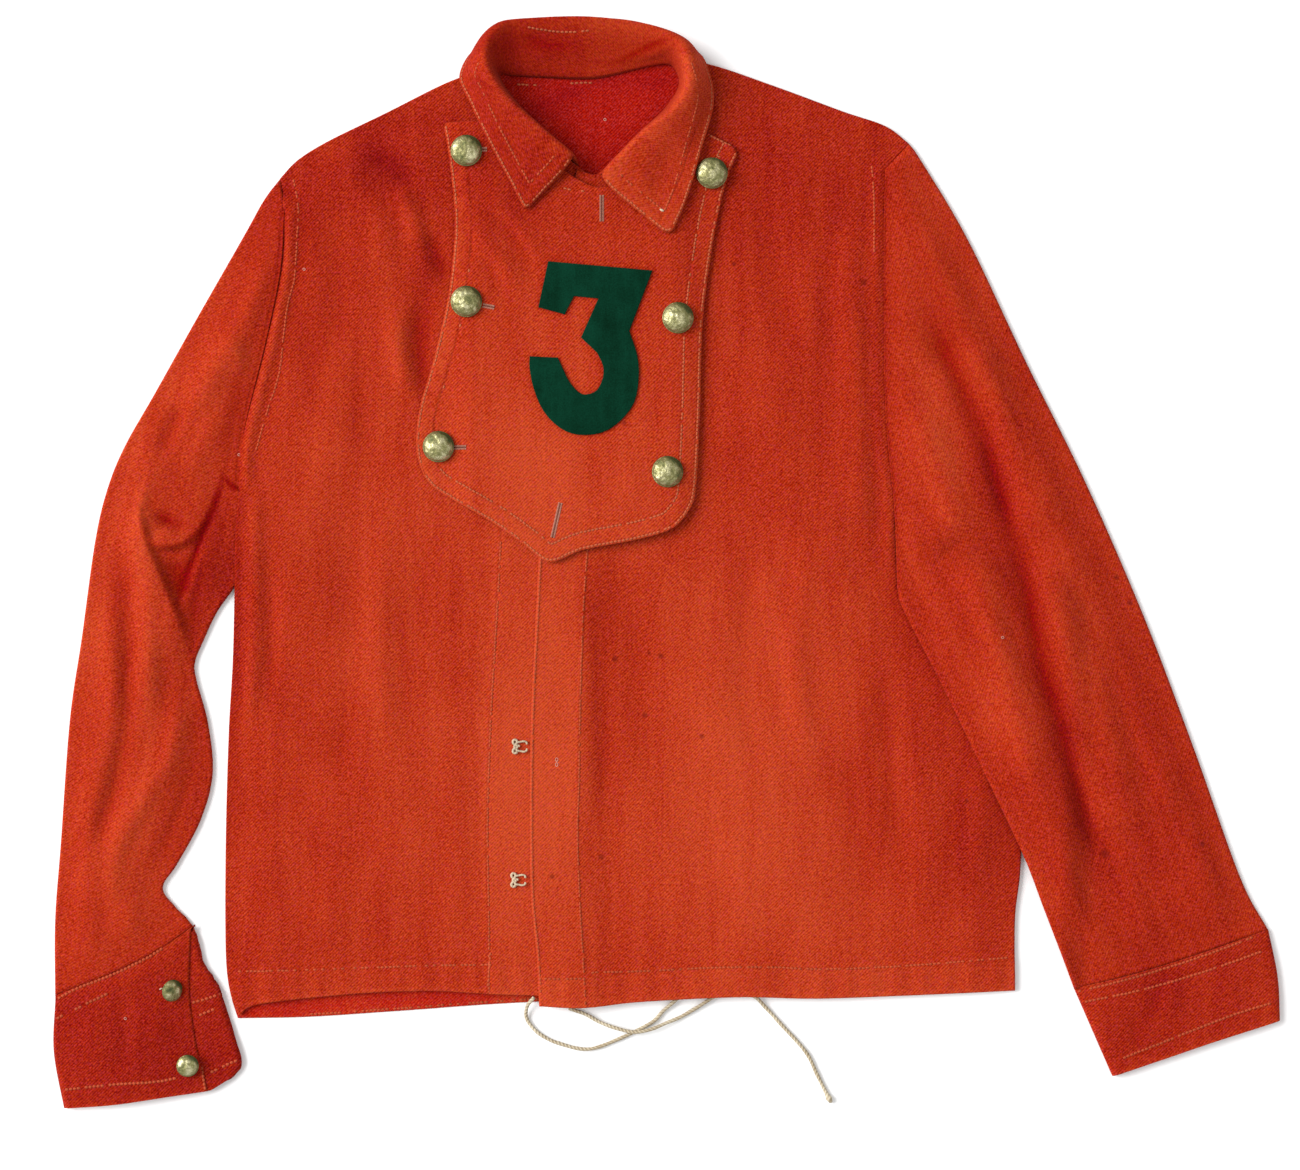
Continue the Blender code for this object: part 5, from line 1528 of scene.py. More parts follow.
@dataclass
class Bib:
    """The buttoned shield bib with its felt numeral and its buttonholes.

    felt is the numeral's thickness, rounded by felt_edge. A buttonhole's stitches reach from the first
    to the second of hole_rim away from its slit.
    """

    red: Twill = field(default_factory=lambda: Twill(wale=1.7))
    rows_in: tuple[float, float] = (1.5, 12.0)
    step: float = 2.6
    size: tuple[float, float] = (270, 190)
    felt: float = 1.3
    felt_edge: float = 0.5
    felt_step: float = 3.5
    hole_pitch: float = 0.9
    hole_rim: tuple[float, float] = (0.35, 1.5)

    def build(self) -> None:
        """Builds the bib and what is sewn on it."""
        right, left = smooth_line(BIB_RIGHT_EDGE), smooth_line(BIB_LEFT_EDGE)
        bottom, top = smooth_line(BIB_BOTTOM, 16), smooth_line(BIB_TOP)
        near = (*NEAR_EDGE, 9.4, 10.8, 11.6, 12.3, 13.2, 14.6)
        grid = woven_patch(bottom, top, right, left, *(graded(size, self.step, near) for size in self.size))
        off = np.minimum.reduce([distance(line, grid) for line in (right, left, bottom)])
        row = self.rows_in[1]
        band = 0.35 * (1 - climb(off, row, 1.6))
        groove = 0.22 * bell(off, 1.0, row) + 0.15 * bell(off, 0.8, 1.6)
        z = bib_z(grid) + BIB_WALL / 2 + band - groove
        rub = 0.95 * decay(off, 1.6) + 0.18 * (off < row) + ridge_highlight(BODY_CREASES, grid)
        rub += 0.34 * bell(distance(right, grid), 4.0, 4.5)
        shade = hollow_shade(BODY_CREASES + BIB_CREASES, grid, 3.5)
        collar_edge = smooth_line([station[5:7] for station in COLLAR[:3]])
        shade = shade + 0.3 * decay(distance(collar_edge, grid), 12.0)
        shade = shade + 0.45 * decay(distance([*NUMERAL, NUMERAL[0]], grid), 1.6)
        solid = round_corner(round_corner(np.dstack([grid, z]), True, True, 7.0), True, False, 4.0)
        surface = cloth_surface(solid, [off], rub, shade, 0.04)
        material = self.red.material("red_twill_bib", [Groove(0, depth) for depth in self.rows_in])
        made = piece("bib_panel", slab("bib_panel", surface, BIB_WALL), material)
        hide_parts("bib")
        self.stitch(made, right, left, bottom)
        self.numeral()
        self.holes(made)

    def stitch(self, made: Object, right: Array, left: Array, bottom: Array) -> None:
        """The rows of stitches along the bib's edges. The inner one on the right has mostly worn away."""
        edges = [right, left, bottom]
        rows = Stitching("stitching_bib", made, seed=21)
        for depth, keep, keep_right in zip(self.rows_in, (0.9, 0.88), (0.9, 0.88 * 0.15)):
            rows.row(inset(left, depth, edges), keep)
            rows.row(inset(bottom, depth, edges), keep)
            rows.row(inset(right[::-1], depth, edges)[:-6], keep_right)
        rows.curves(BIB_TOP_ROWS)
        rows.finish()

    def numeral(self) -> None:
        """The felt numeral, laid over the bib's own rise and fall."""
        felt = bmesh.new()
        bowl, inner = smooth_line(NUMERAL[2:14], 3), smooth_line(NUMERAL[14:23], 3)
        outline = [*NUMERAL[:2], *bowl, *inner, *NUMERAL[23:]]
        verts = [felt.verts.new((x * MM, y * MM, 0)) for x, y in outline]
        felt.faces.new(verts[::-1]).normal_update()
        for axis, low, high in ((0, -92, -9), (1, 88, 205)):
            for at in np.arange(low, high, self.felt_step):
                centre, normal = Vector((0, 0, 0)), Vector((0, 0, 0))
                centre[axis], normal[axis] = at * MM, 1.0
                everything = [*felt.verts, *felt.edges, *felt.faces]
                bmesh.ops.bisect_plane(felt, geom=everything, plane_co=centre, plane_no=normal, dist=1e-7)
        bmesh.ops.triangulate(felt, faces=felt.faces)
        raised = bmesh.ops.extrude_face_region(felt, geom=list(felt.faces))
        top = [v for v in raised["geom"] if isinstance(v, BMVert)]
        bmesh.ops.translate(felt, verts=top, vec=(0, 0, self.felt * MM))
        bmesh.ops.recalc_face_normals(felt, faces=felt.faces)
        sharp = [edge for edge in felt.edges if edge.calc_face_angle(0.0) > 1.0]
        rim = [edge for edge in sharp if all(v.co.z > self.felt * MM / 2 for v in edge.verts)]
        bmesh.ops.bevel(felt, geom=rim, offset=self.felt_edge * MM, segments=2, profile=0.5, affect="EDGES",
                        material=-1)
        xy = np.array([v.co[:2] for v in felt.verts]) / MM
        for vertex, low in zip(felt.verts, bib_z(xy) + BIB_WALL + 0.1):
            vertex.co.z += low * MM
        mesh = mesh_of("numeral_felt", felt)
        made = piece("numeral_felt", mesh, Felt().material("green_felt"))
        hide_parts("numeral")

    def holes(self, made: Object) -> None:
        """The five buttonholes: a dark slit between two rows of close stitches."""
        work = Stitching("buttonholes", made, Thread.DUSTY, long=1.5, wide=1.0, high=0.35, seed=22)
        slit = Stitching("buttonhole_slits", made, Thread.BROWN, long=3.0, wide=0.7, high=0.4, gap=-1.0,
                         seed=23)
        for start, end in BUTTONHOLES:
            a, b = np.array(start, float), np.array(end, float)
            length = float(np.linalg.norm(b - a))
            along = (b - a) / length
            side = np.array([-along[1], along[0]])
            for run in np.arange(self.hole_pitch / 3, length, self.hole_pitch):
                for way in (-1, 1):
                    ends = [work.surface.drop(*(a + along * run + side * way * out)) for out in self.hole_rim]
                    if all(ends):
                        work.one(*ends)
            slit.row(np.array([a, b]), 1.0, 0.0)
        work.finish()
        slit.finish()


# ---------------------------------------------------------------- the collar


@dataclass
class Collar:
    """The fold-over collar: its stand round the neck, the roll, and the fall outside it."""

    red: Twill = field(default_factory=lambda: Twill(slope=-1.0, wale=1.45, ribs=0.55))
    along: int = 11
    stand: int = 16
    fall: int = 26
    rows_in: tuple[float, float] = (1.5, 11.0)
    ripple: float = 0.35

    def middle(self) -> Array:
        """The collar's middle surface [station, across, xyz], from the neck seam to the outer edge."""
        stations = smooth_line(COLLAR, self.along)
        t_stand = np.linspace(0, 1, self.stand + 1)
        t_edge = 1 - np.array([0.07, 0.045, 0.025, 0.012, 0.0])
        t_fall = np.concatenate([np.linspace(0, 0.9, self.fall), t_edge])
        rows = []
        for s in stations:
            seam, roll, edge = np.array([s[0], s[1], CLOTH + 0.7]), s[2:5], s[5:8]
            out = np.array([roll[0] - NECK_CENTRE[0], roll[1] - NECK_CENTRE[1], 0])
            out /= np.linalg.norm(out)
            lean = max(float((roll - seam) @ out) / 3.0, 0)
            seam[2] += COLLAR_WALL / 2 * float(climb(lean, 1, 8))
            away = edge - roll
            reach = np.linalg.norm(away[:2])
            away = np.array([away[0], away[1], 0]) / reach
            up = np.array([0, 0, (roll[2] - seam[2]) * 0.4])
            stand = self.bezier((seam, seam + up + out * lean, roll - out * 4.0, roll), t_stand)
            fall = self.bezier((roll, roll + out * 8.0, edge - away * reach * 0.4, edge), t_fall[1:])
            rows.append(np.vstack([stand, fall]))
        return np.array(rows)

    @staticmethod
    def bezier(handles: Sequence[Array], t: Array) -> Array:
        """Points along a cubic with these four handles."""
        a, b, c, d = handles
        t = t[:, None]
        return a * (1 - t) ** 3 + 3 * b * (1 - t) ** 2 * t + 3 * c * (1 - t) * t**2 + d * t**3

    def build(self) -> None:
        """Builds the collar and its stitching."""
        points = self.middle()
        run = np.cumsum(np.linalg.norm(np.diff(points, axis=1, prepend=points[:, :1]), axis=-1), axis=1)
        off = run[:, -1:] - run
        ends = np.linalg.norm(np.diff(points[:, -1], axis=0, prepend=points[:1, -1]), axis=-1).cumsum()
        front = np.minimum(ends, ends[-1] - ends)[:, None] + 0 * off
        wave = self.ripple * uneven(points[..., :2], 16.0, 31) + creased(STAND_CREASES, points[..., :2])
        wave *= ease(off / 8) * ease(run / 8) * ease(front / 10)
        points = points + grid_normals(points) * wave[..., None]
        points = round_corner(round_corner(points, False, True, 4.5), True, True, 7.5)
        weave = np.dstack([np.broadcast_to(ends[:, None], run.shape), run])
        roll = run[:, self.stand : self.stand + 1]
        # Worn along the edges, with a painted highlight along the roll
        rub = 0.9 * decay(off, 1.6) + 0.5 * bell(run - roll, 7.0) + 0.7 * decay(front, 1.6)
        inner = np.clip(1 - run / roll, 0, 1)
        # Painted light: the wearer's left leaf is painted paler and the right leaf gets painted shade
        lit_leaf = climb(points[..., 0], -90, 60)
        shade = 0.45 * inner**1.5 + 0.10 * (1 - lit_leaf) + 0.42 * climb(points[..., 1], 338, 14)
        shade = shade + creased(STAND_SHADOWS, points[..., :2])
        surface = cloth_surface(points, [off, front], rub, shade, -0.06 + 0.34 * lit_leaf, weave)
        grooves = [*(Groove(0, depth) for depth in self.rows_in), Groove(1, self.rows_in[0])]
        mesh = slab("collar_cloth", surface, COLLAR_WALL, upright=False)
        made = piece("collar_cloth", mesh, self.red.material("red_twill_collar", grooves))
        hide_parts("collar")
        self.stitch(made, points)

    def stitch(self, made: Object, points: Array) -> None:
        """Rows of stitches along the collar's edges, and the ones that show inside the neck."""
        rows = Stitching("stitching_collar", made, seed=41)
        faint = Stitching("stitching_collar_second", made, Thread.FADED, seed=43)
        outer = points[:, -1, :2]
        right_front, left_front = points[0, self.stand :, :2][::-1], points[-1, self.stand :, :2]
        third = len(outer) // 3
        edges = [outer, right_front, left_front]
        for sewn, depth, keep in zip((rows, faint), self.rows_in, (0.92, 0.8)):
            sewn.row(inset(outer[:third], -depth, edges), keep)
            sewn.row(inset(outer[-third:], -depth, edges), keep)
            sewn.row(inset(right_front[:-3], depth, edges), keep)
            sewn.row(inset(left_front[3:], depth, edges), keep)
        faint.finish()
        for carrier, curves in NECK_ROWS:
            rows.surface = Dropper(bpy.data.objects[carrier])
            rows.curves(curves)
        rows.finish()


# ---------------------------------------------------------------- sleeves and cuffs


@dataclass
class FlatTube:
    """A tube of cloth pressed flat: a lower and an upper layer that meet in two round folds.

    Its inner side is open, as a sleeve's is at its armhole, for the first open_rows, the last of
    them closing bit by bit.
    """

    grid: Array
    base: Height
    rise: Height
    flat: float
    open_rows: int = 0
    closing: float = 1.0
    lift_run: float = 9.0

    def rings(self) -> Array:
        """The rings of points round the tube."""
        width = np.linalg.norm(np.diff(self.grid, axis=1, prepend=self.grid[:, :1]), axis=-1).cumsum(axis=1)
        inner, outer = width, width[:, -1:] - width
        opened = np.clip((self.open_rows - np.arange(len(width))[:, None]) / self.closing, 0, 1)
        turn = self.flat * 0.75
        half = self.flat / 2 * rounded(np.minimum(inner + turn * opened, outer), turn)
        middle = self.base(self.grid) + self.flat / 2
        lift = rounded(np.minimum(inner + self.lift_run * opened, outer), self.lift_run)
        lower = np.dstack([self.grid, middle - half])
        upper = np.dstack([self.grid, middle + half + self.rise(self.grid) * lift])
        return np.concatenate([lower, upper[:, -2::-1]], axis=1)


@dataclass(frozen=True)
class SleevePlan:
    """Where one sleeve lies and how it is creased.

    clear moves its head off the armhole's seam. pressed is a place that lies flat: x, y and reach.
    lean turns its grain, bent is where along it the rows lie closest, and closing is the number of
    rows over which its open head closes.
    """

    name: str
    node: str
    seam: Route
    outer: Route
    inner: Route
    end: Route
    creases: tuple[Crease, ...]
    shadows: tuple[Crease, ...]
    base: Height
    clear: tuple[float, float]
    pressed: tuple[float, float, float]
    flat: tuple[float, float]
    area: float
    lean: float
    bent: float
    closing: float


SLEEVES = (
    SleevePlan(
        "right_sleeve", "sleeve_right", RIGHT_ARMHOLE, SLEEVE_R_OUTER, SLEEVE_R_INNER, SLEEVE_R_END,
        SLEEVE_R_CREASES, SLEEVE_R_SHADOWS, on_table, clear=(0.5, 0.2), pressed=(-292.0, 42.0, 46.0),
        flat=(0.22, 0.60), area=0.090, lean=12.0, bent=0.46, closing=1.0,
    ),
    SleevePlan(
        "left_sleeve", "sleeve_left", LEFT_ARMHOLE, SLEEVE_L_OUTER, SLEEVE_L_INNER, SLEEVE_L_END,
        SLEEVE_L_CREASES, SLEEVE_L_SHADOWS, over_body, clear=(-0.5, 0.2), pressed=(160.0, -22.0, 26.0),
        flat=(0.28, 0.60), area=0.142, lean=-24.0, bent=0.30, closing=16.0,
    ),
)


def crowded(count: int, pull: float) -> Array:
    """Shares from 0 to 1 in count steps, the steps smaller near both ends by a pull of up to 1."""
    turns = np.linspace(0, 1, count + 1)
    return turns - pull / (2 * math.pi) * np.sin(2 * math.pi * turns)


def cloth_wall(made: Object, wall: float) -> None:
    """Gives a tube or a strip its cloth wall, inwards."""
    shell = made.modifiers.new("cloth_wall", "SOLIDIFY")
    shell.thickness = wall * MM
    shell.offset = -1.0


@dataclass
class Sleeve:
    """One sleeve, set in at its armhole and gathered into its cuff.

    seam_share is the share of its inner edge that is sewn to the armhole. stretch draws its small
    unevenness out along it, and least is what is left of its puff in the deepest fold.
    """

    plan: SleevePlan
    seam_rows: int = 76
    edge_rows: int = 140
    columns: int = 76
    seam_share: float = 0.381
    wall: float = 1.2
    stretch: float = 0.28
    least: float = 0.3

    def rise(self, xy: Array) -> Array:
        """How far the upper layer stands off its flat height."""
        plan = self.plan
        rim = np.minimum(distance(plan.outer, xy), distance(plan.inner, xy))
        x, y, reach = plan.pressed
        pressed = 1 - np.exp(-((xy[..., 0] - x) ** 2 + (xy[..., 1] - y) ** 2) / reach**2)
        cos, sin = math.cos(math.radians(plan.lean)), math.sin(math.radians(plan.lean))
        down = xy @ np.array([[cos, sin * self.stretch], [-sin, cos * self.stretch]])
        folds = creased(plan.creases, xy) + 0.45 * uneven(down, 14.0, 7) + 0.15 * uneven(down, 6.0, 8)
        lifted = np.maximum(SLEEVE_PUFF + folds, self.least) * ease(rim / SLEEVE_RUN) * pressed
        at_seam = 0.66 + 0.34 * ease(distance(plan.seam, xy) / 16.0)
        at_cuff = 0.25 + 0.75 * ease(distance(plan.end, xy) / 34.0)
        return lifted * at_seam * at_cuff

    def grid(self) -> Array:
        """The sleeve's flat grid [row, column, xy], from its head to its cuff and from its inner edge out."""
        plan = self.plan
        seam, inner = smooth_line(plan.seam)[::-1] + plan.clear, smooth_line(plan.inner)
        before = thickened(0.0, self.seam_share, self.seam_rows, plan.bent)
        after = thickened(self.seam_share, 1.0, self.edge_rows, plan.bent)[1:]
        rows_a = sample(seam, before / self.seam_share)
        rows_b = sample(inner, (after - self.seam_share) / (1 - self.seam_share))
        inner_edge = np.vstack([rows_a, rows_b])
        share = np.concatenate([before, after])
        outer_edge = sample(smooth_line(plan.outer), share)
        columns = crowded(self.columns, 0.6)
        end = sample(smooth_line(plan.end), columns)
        bend = end - (inner_edge[-1] + columns[:, None] * (outer_edge[-1] - inner_edge[-1]))
        grid = inner_edge[:, None] + columns[None, :, None] * (outer_edge - inner_edge)[:, None]
        return grid + np.clip(1 - (1 - share) / 0.2, 0, 1)[:, None, None] * bend

    def build(self) -> None:
        """Builds the sleeve's cloth."""
        plan = self.plan
        tube = FlatTube(self.grid(), plan.base, self.rise, SLEEVE_FLAT, self.seam_rows, plan.closing)
        rings = tube.rings()
        xy = rings[..., :2]
        cuff, armhole = distance(smooth_line(plan.end), xy), distance(smooth_line(plan.seam), xy)
        upper = np.concatenate([np.zeros(self.columns + 1), np.ones(self.columns)])[None, :]
        rub = (ridge_highlight(plan.creases, xy) + 0.35 * decay(distance(plan.outer, xy), 5.0)) * upper
        shade = hollow_shade(plan.creases, xy, 4.5) * upper + 0.32 * bell(armhole, 3.5)
        shade = shade + creased(plan.shadows, xy) * upper
        surface = cloth_surface(rings, [cuff, armhole], rub, shade)
        mesh = grid_mesh(plan.name, [rings], surface.layers())
        material = Twill(turn=plan.lean, ribs=0.6).material("red_twill_" + plan.name, [Groove(1, 1.0)])
        made = piece(plan.name, mesh, material)
        cloth_wall(made, self.wall)
        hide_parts(plan.node)


@dataclass
class LeftCuff:
    """The left cuff, closed: a flattened band below the sleeve's end."""

    red: Twill = field(default_factory=Twill)
    flat: float = 4.5
    puff: float = 1.9
    wall: float = 1.6
    length: float = 64.0
    step: float = 2.4
    columns: int = 46

    def rise(self, xy: Array) -> Array:
        """How far the upper layer stands off its flat height."""
        rim = np.minimum(distance(SLEEVE_L_OUTER, xy), distance(SLEEVE_L_INNER, xy))
        folds = self.puff + 0.45 * uneven(xy, 16.0, 51) + creased(CUFF_L_CREASES, xy)
        return folds * ease(rim / SLEEVE_RUN)

    def build(self) -> None:
        """Builds the cuff and its stitching."""
        top = smooth_line(SLEEVE_L_END) + [0, 0.6]
        bottom = smooth_line(CUFF_L_END)
        outer = smooth_line([tuple(top[-1]), *CUFF_L_OUTER[1:]])
        inner = np.array([top[0], bottom[0]])
        shares = graded(self.length, self.step), crowded(self.columns, 0.75)
        grid = woven_patch(top, bottom, inner, outer, *shares)
        rings = FlatTube(grid, on_table, self.rise, self.flat).rings()
        xy = rings[..., :2]
        low, high = distance(bottom, xy), distance(top, xy)
        rub = 0.9 * decay(low, 2.0) + 0.6 * decay(high, 1.6)
        surface = cloth_surface(rings, [low, high], rub, 0.08 + hollow_shade(CUFF_L_CREASES, xy, 2.0), -0.1)
        mesh = grid_mesh("left_cuff", [rings], surface.layers())
        grooves = [Groove(0, 12.0), Groove(1, EDGE_STITCH), Groove(1, 11.5)]
        made = piece("left_cuff", mesh, self.red.material("red_twill_left_cuff", grooves))
        cloth_wall(made, self.wall)
        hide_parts("cuff_left")
        rows = Stitching("stitching_left_cuff", made, Thread.FADED, wide=2.0, high=0.28, seed=52)
        rows.curves(LEFT_CUFF_ROWS)
        rows.finish()


@dataclass
class RightCuff:
    """The right cuff, open: a strip folded round the wrist, whose over part laps its under part."""

    red: Twill = field(default_factory=Twill)
    wall: float = 1.7
    under_top: float = 4.2
    over_top: float = 4.9
    puff: float = 2.8
    length: float = 118.0
    folded: int = 60
    steps: int = 62

    def over_z(self, share: Array) -> Array:
        """Top of the over part, a share of the way from its outer fold to its button edge."""
        lapped = ease(share * 1.6) * (self.over_top - self.under_top)
        return self.under_top + lapped + self.puff * np.sin(np.pi * np.clip(share, 0, 1)) ** 0.9

    def section(self, row: Array, left: Array, button: Array, turn: Array) -> Array:
        """The strip's hidden part across one row: under the over part, round the fold, and back below it.

        Args:
            row: the points of the over part, from its outer fold to its button edge.
            left: the row's outer fold.
            button: its button edge.
            turn: its inner fold.

        Returns:
            The points, evenly spaced.
        """
        top = self.under_top
        along = (turn - left) / np.linalg.norm(turn - left)
        bend = ((2.2, 1.0), (0.6, 0.78), (0.0, 0.5), (0.6, 0.22), (2.2, 0.0))
        section = [(*row[-12], top), (*row[-6], top), (*(button + along * 2.2), top)]
        section += [(*(turn - along * back), top * share) for back, share in bend]
        section += [(*point, 0) for point in row[-4:0:-6]]
        section += [(*(left + along * back), top * share) for back, share in bend[::-1]]
        return sample(np.array(section), np.linspace(0, 1, self.folded))

    def build(self) -> None:
        """Builds the cuff and its stitching."""
        shares = graded(self.length)
        outer, edge, fold = (
            sample(smooth_line(line), shares) for line in (CUFF_R_OUTER, CUFF_R_BUTTON_EDGE, CUFF_R_FOLD)
        )
        top = smooth_line(SLEEVE_R_END[::-1]) + [0, 0.6]
        outer[0], edge[0] = top[0], top[-1]
        turns = np.linspace(0, 1, self.steps + 1)
        over = woven_patch(top, smooth_line(CUFF_R_BOTTOM), outer, edge, shares, turns)
        share = np.linspace(0.03, 1, self.steps - 1)
        grid = []
        for row, left, button, turn in zip(over, outer, edge, fold):
            plane = np.array([[np.interp(s, turns, row[:, k]) for k in range(2)] for s in share])
            rise = self.over_z(share) + creased(CUFF_CREASES, plane) + 0.25 * uneven(plane, 14.0, 61)
            rise -= 1.5 * (1 - ease(distance(top, plane) / 13.0)) * np.sin(np.pi * share)
            grid.append(np.vstack([self.section(row, left, button, turn), np.column_stack([plane, rise])]))
        points = np.array(grid)[::-1]
        xy = points[..., :2]
        low, high = distance(smooth_line(CUFF_R_BOTTOM), xy), distance(top, xy)
        button = distance(smooth_line(CUFF_R_BUTTON_EDGE), xy)
        seen = np.arange(points.shape[1])[None, :] >= self.folded
        rub = 0.9 * decay(low, 2.0) + 0.5 * decay(button, 1.6) * seen + 0.7 * decay(high, 2.5)
        seams = [low, high, button + 99 * ~seen]
        surface = cloth_surface(points, seams, rub, shade=0.22, paler_by=-0.12, weave=xy)
        mesh = grid_mesh("right_cuff", [points], surface.layers())
        grooves = [Groove(0, 12.0), Groove(1, 13.0)]
        made = piece("right_cuff", mesh, self.red.material("red_twill_right_cuff", grooves))
        cloth_wall(made, self.wall)
        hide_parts("cuff_right")
        rows = Stitching("stitching_right_cuff", made, Thread.FADED, wide=2.3, high=0.26, seed=62)
        rows.curves(RIGHT_CUFF_ROWS)
        rows.finish()


# ---------------------------------------------------------------- buttons, hooks, marks and cord


@dataclass
class Button:
    """A domed brass button with a plain hammered face and a thin rolled rim.

    high is the dome's height and shoulder the radius at its foot, as shares of the button's width
    and radius.
    """

    name: str
    node: str
    x: float
    y: float
    across: float
    tilt: tuple[float, float] = (0.0, 0.0)
    brass: Brass = field(default_factory=Brass)
    high: float = 0.30
    shoulder: float = 0.95
    foot: float = 1.5
    dents: int = 34
    sides: int = 56

    def turned(self) -> BMesh:
        """Turns the button's profile round its middle."""
        radius, dome = self.across / 2, self.across * self.high
        profile = [(0.0, dome)]
        for lean in (82, 74, 66, 58, 50, 42, 34, 26, 19, 13):
            angle = math.radians(lean)
            rise = self.foot + (dome - self.foot) * math.sin(angle)
            profile.append((radius * self.shoulder * math.cos(angle), rise))
        profile += [(radius * 0.955, 1.75), (radius * 0.985, 1.8), (radius, 1.4), (radius * 0.99, 0.9),
                    (radius * 0.93, 0.55), (radius * 0.4, 0.3), (0.0, 0.3)]
        metal = bmesh.new()
        verts = [metal.verts.new((x * MM, 0, z * MM)) for x, z in profile]
        edges = [metal.edges.new(pair) for pair in zip(verts[:-1], verts[1:])]
        bmesh.ops.spin(metal, geom=verts + edges, cent=(0, 0, 0), axis=(0, 0, 1), dvec=(0, 0, 0),
                       angle=2 * math.pi, steps=self.sides, use_merge=True, use_duplicate=False)
        bmesh.ops.remove_doubles(metal, verts=metal.verts, dist=1e-6)
        bmesh.ops.recalc_face_normals(metal, faces=metal.faces)
        return metal

    def hammered(self, metal: BMesh) -> Array:
        """Hammers small dents and bumps into the face, and gives each point's painted light: brighter on the
        face, a painted highlight, and on its raised bumps, where it is rubbed, with painted shade round the
        rim and a painted shadow on its upper right.
        """
        radius = self.across / 2
        rng = np.random.default_rng(int(abs(self.x) * 7 + abs(self.y)))
        dents = [(rng.uniform(0, 2 * math.pi), math.sqrt(rng.uniform(0, 0.8)) * radius, rng.uniform(0.9, 2.0),
                  rng.choice((-1, 1))) for _ in range(self.dents)]
        bright = []
        for vertex in metal.verts:
            x, y, z = (part / MM for part in vertex.co)
            face = float(climb(z, 1.9, 1.2))
            lift = sum(sign * math.exp(-((x - r * math.cos(a)) ** 2 + (y - r * math.sin(a)) ** 2) / size**2)
                       for a, r, size, sign in dents)
            vertex.co.z += 0.10 * lift * face * MM
            # Painted shadow on the upper right of the rim, and a painted highlight on the face
            shadow = float(climb((0.6 * x + 0.8 * y) / radius, 0.45, 0.5))
            bright.append(min(max(0.36 + 0.22 * face + 0.22 * lift * face - 0.75 * shadow, -0.4), 1))
        return np.array(bright)

    def build(self) -> None:
        """Builds the button and puts it where its solid is."""
        low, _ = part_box(self.node)
        metal = self.turned()
        bright = self.hammered(metal)
        centre = Vector((self.x * MM, self.y * MM, low.z + 0.0002))
        turn = Matrix.Translation(centre) @ Euler((*self.tilt, 0)).to_matrix().to_4x4()
        bmesh.ops.transform(metal, matrix=turn, verts=metal.verts)
        mesh = mesh_of(self.name, metal)
        store(mesh, "high", bright)
        mesh.shade_smooth()
        made = piece(self.name, mesh, self.brass.material("aged_brass_" + self.name))
        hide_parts(self.node)


def tube(name: str, line: Array, radius: Array, sides: int = 10) -> Mesh:
    """A round tube along a line, closed at both ends.

    Args:
        name: the mesh's name.
        line: its points, in millimetres.
        radius: the radius at each point.
        sides: how many points go round it.

    Returns:
        The mesh, with the weave attribute as the run along it and round it.
    """
    tangent = np.gradient(line, axis=0)
    tangent /= np.linalg.norm(tangent, axis=1, keepdims=True)
    side = np.cross(tangent, (0.0, 0.0, 1.0))
    side /= np.maximum(np.linalg.norm(side, axis=1, keepdims=True), 1e-9)
    up = np.cross(side, tangent)
    line = np.vstack([line[:1], line, line[-1:]])
    side, up = (np.vstack([v[:1], v, v[-1:]]) for v in (side, up))
    radius = np.concatenate([[0.0], radius, [0.0]])[:, None, None]
    angle = np.linspace(0, 2 * math.pi, sides + 1)[None, :, None]
    points = line[:, None] + radius * (side[:, None] * np.cos(angle) + up[:, None] * np.sin(angle))
    points[:, -1] = points[:, 0]
    run = run_of(line)
    weave = np.stack(np.broadcast_arrays(run[:, None], angle[0, :, 0][None, :], 0.0), axis=-1)
    return grid_mesh(name, [points], {"weave": weave.reshape(-1, 3)})


@dataclass
class Drawstring:
    """The two ends of the hem's drawstring, lying on the table. knot is how much a knot swells it."""

    cotton: Cotton = field(default_factory=Cotton)
    knot: float = 0.75

    def build(self) -> None:
        material = self.cotton.material("cream_cotton_cord")
        for name, node, table, end in (("cord_left_end", "drawstring_left_end", CORD_A, "bare"),
                                       ("cord_right_end", "drawstring_right_end", CORD_B, "knot")):
            line = spaced(smooth_line(table), 1.6)
            run = run_of(line)
            radius = np.full(len(line), CORD / 2) * (1 + 0.05 * np.sin(run / 2.3))
            if end == "knot":
                knot = bell(run[-1] - 3.0 - run, 2.0)
                radius = radius * (1 + self.knot * knot)
                line[:, 2] += self.knot * CORD / 2 * knot
            made = piece(name, tube(name, line, radius), material)
            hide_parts(node)


@dataclass
class Hook:
    """A thread-bound hook: two wound eyes and two prongs, sewn flat on the placket."""

    name: str
    node: str
    x: float
    y: float
    scale: float = 0.9
    eyes: float = 0.85
    prongs: float = 0.68

    def build(self) -> None:
        """Winds the hook's thread and puts it where its solid is."""
        low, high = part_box(self.node)
        z = (low.z + high.z) / 2 / MM + 0.1
        parts = [(smooth_line(HOOK_EYES, 6), self.eyes)]
        parts += [(smooth_line([(x, side * y) for x, y in HOOK_PRONG], 6), self.prongs) for side in (1, -1)]
        cloth = bmesh.new()
        for k, (line, radius) in enumerate(parts):
            turns = np.arange(len(line))
            wound = np.column_stack([self.scale * line + [self.x, self.y], np.full(len(line), z + 0.25 * k)])
            wound[:, 2] += 0.15 * np.sin(turns * 0.7)
            sizes = np.full(len(line), radius) * (1 + 0.12 * np.sin(turns * 2.1))
            part = tube(f"{self.name}_{k}", wound, sizes, 8)
            cloth.from_mesh(part)
            bpy.data.meshes.remove(part)
        mesh = mesh_of(self.name, cloth)
        mesh.shade_smooth()
        material = Sewing(Thread.CREAM).material("cream_thread_" + self.name)
        made = piece(self.name, mesh, material)
        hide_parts(self.node)


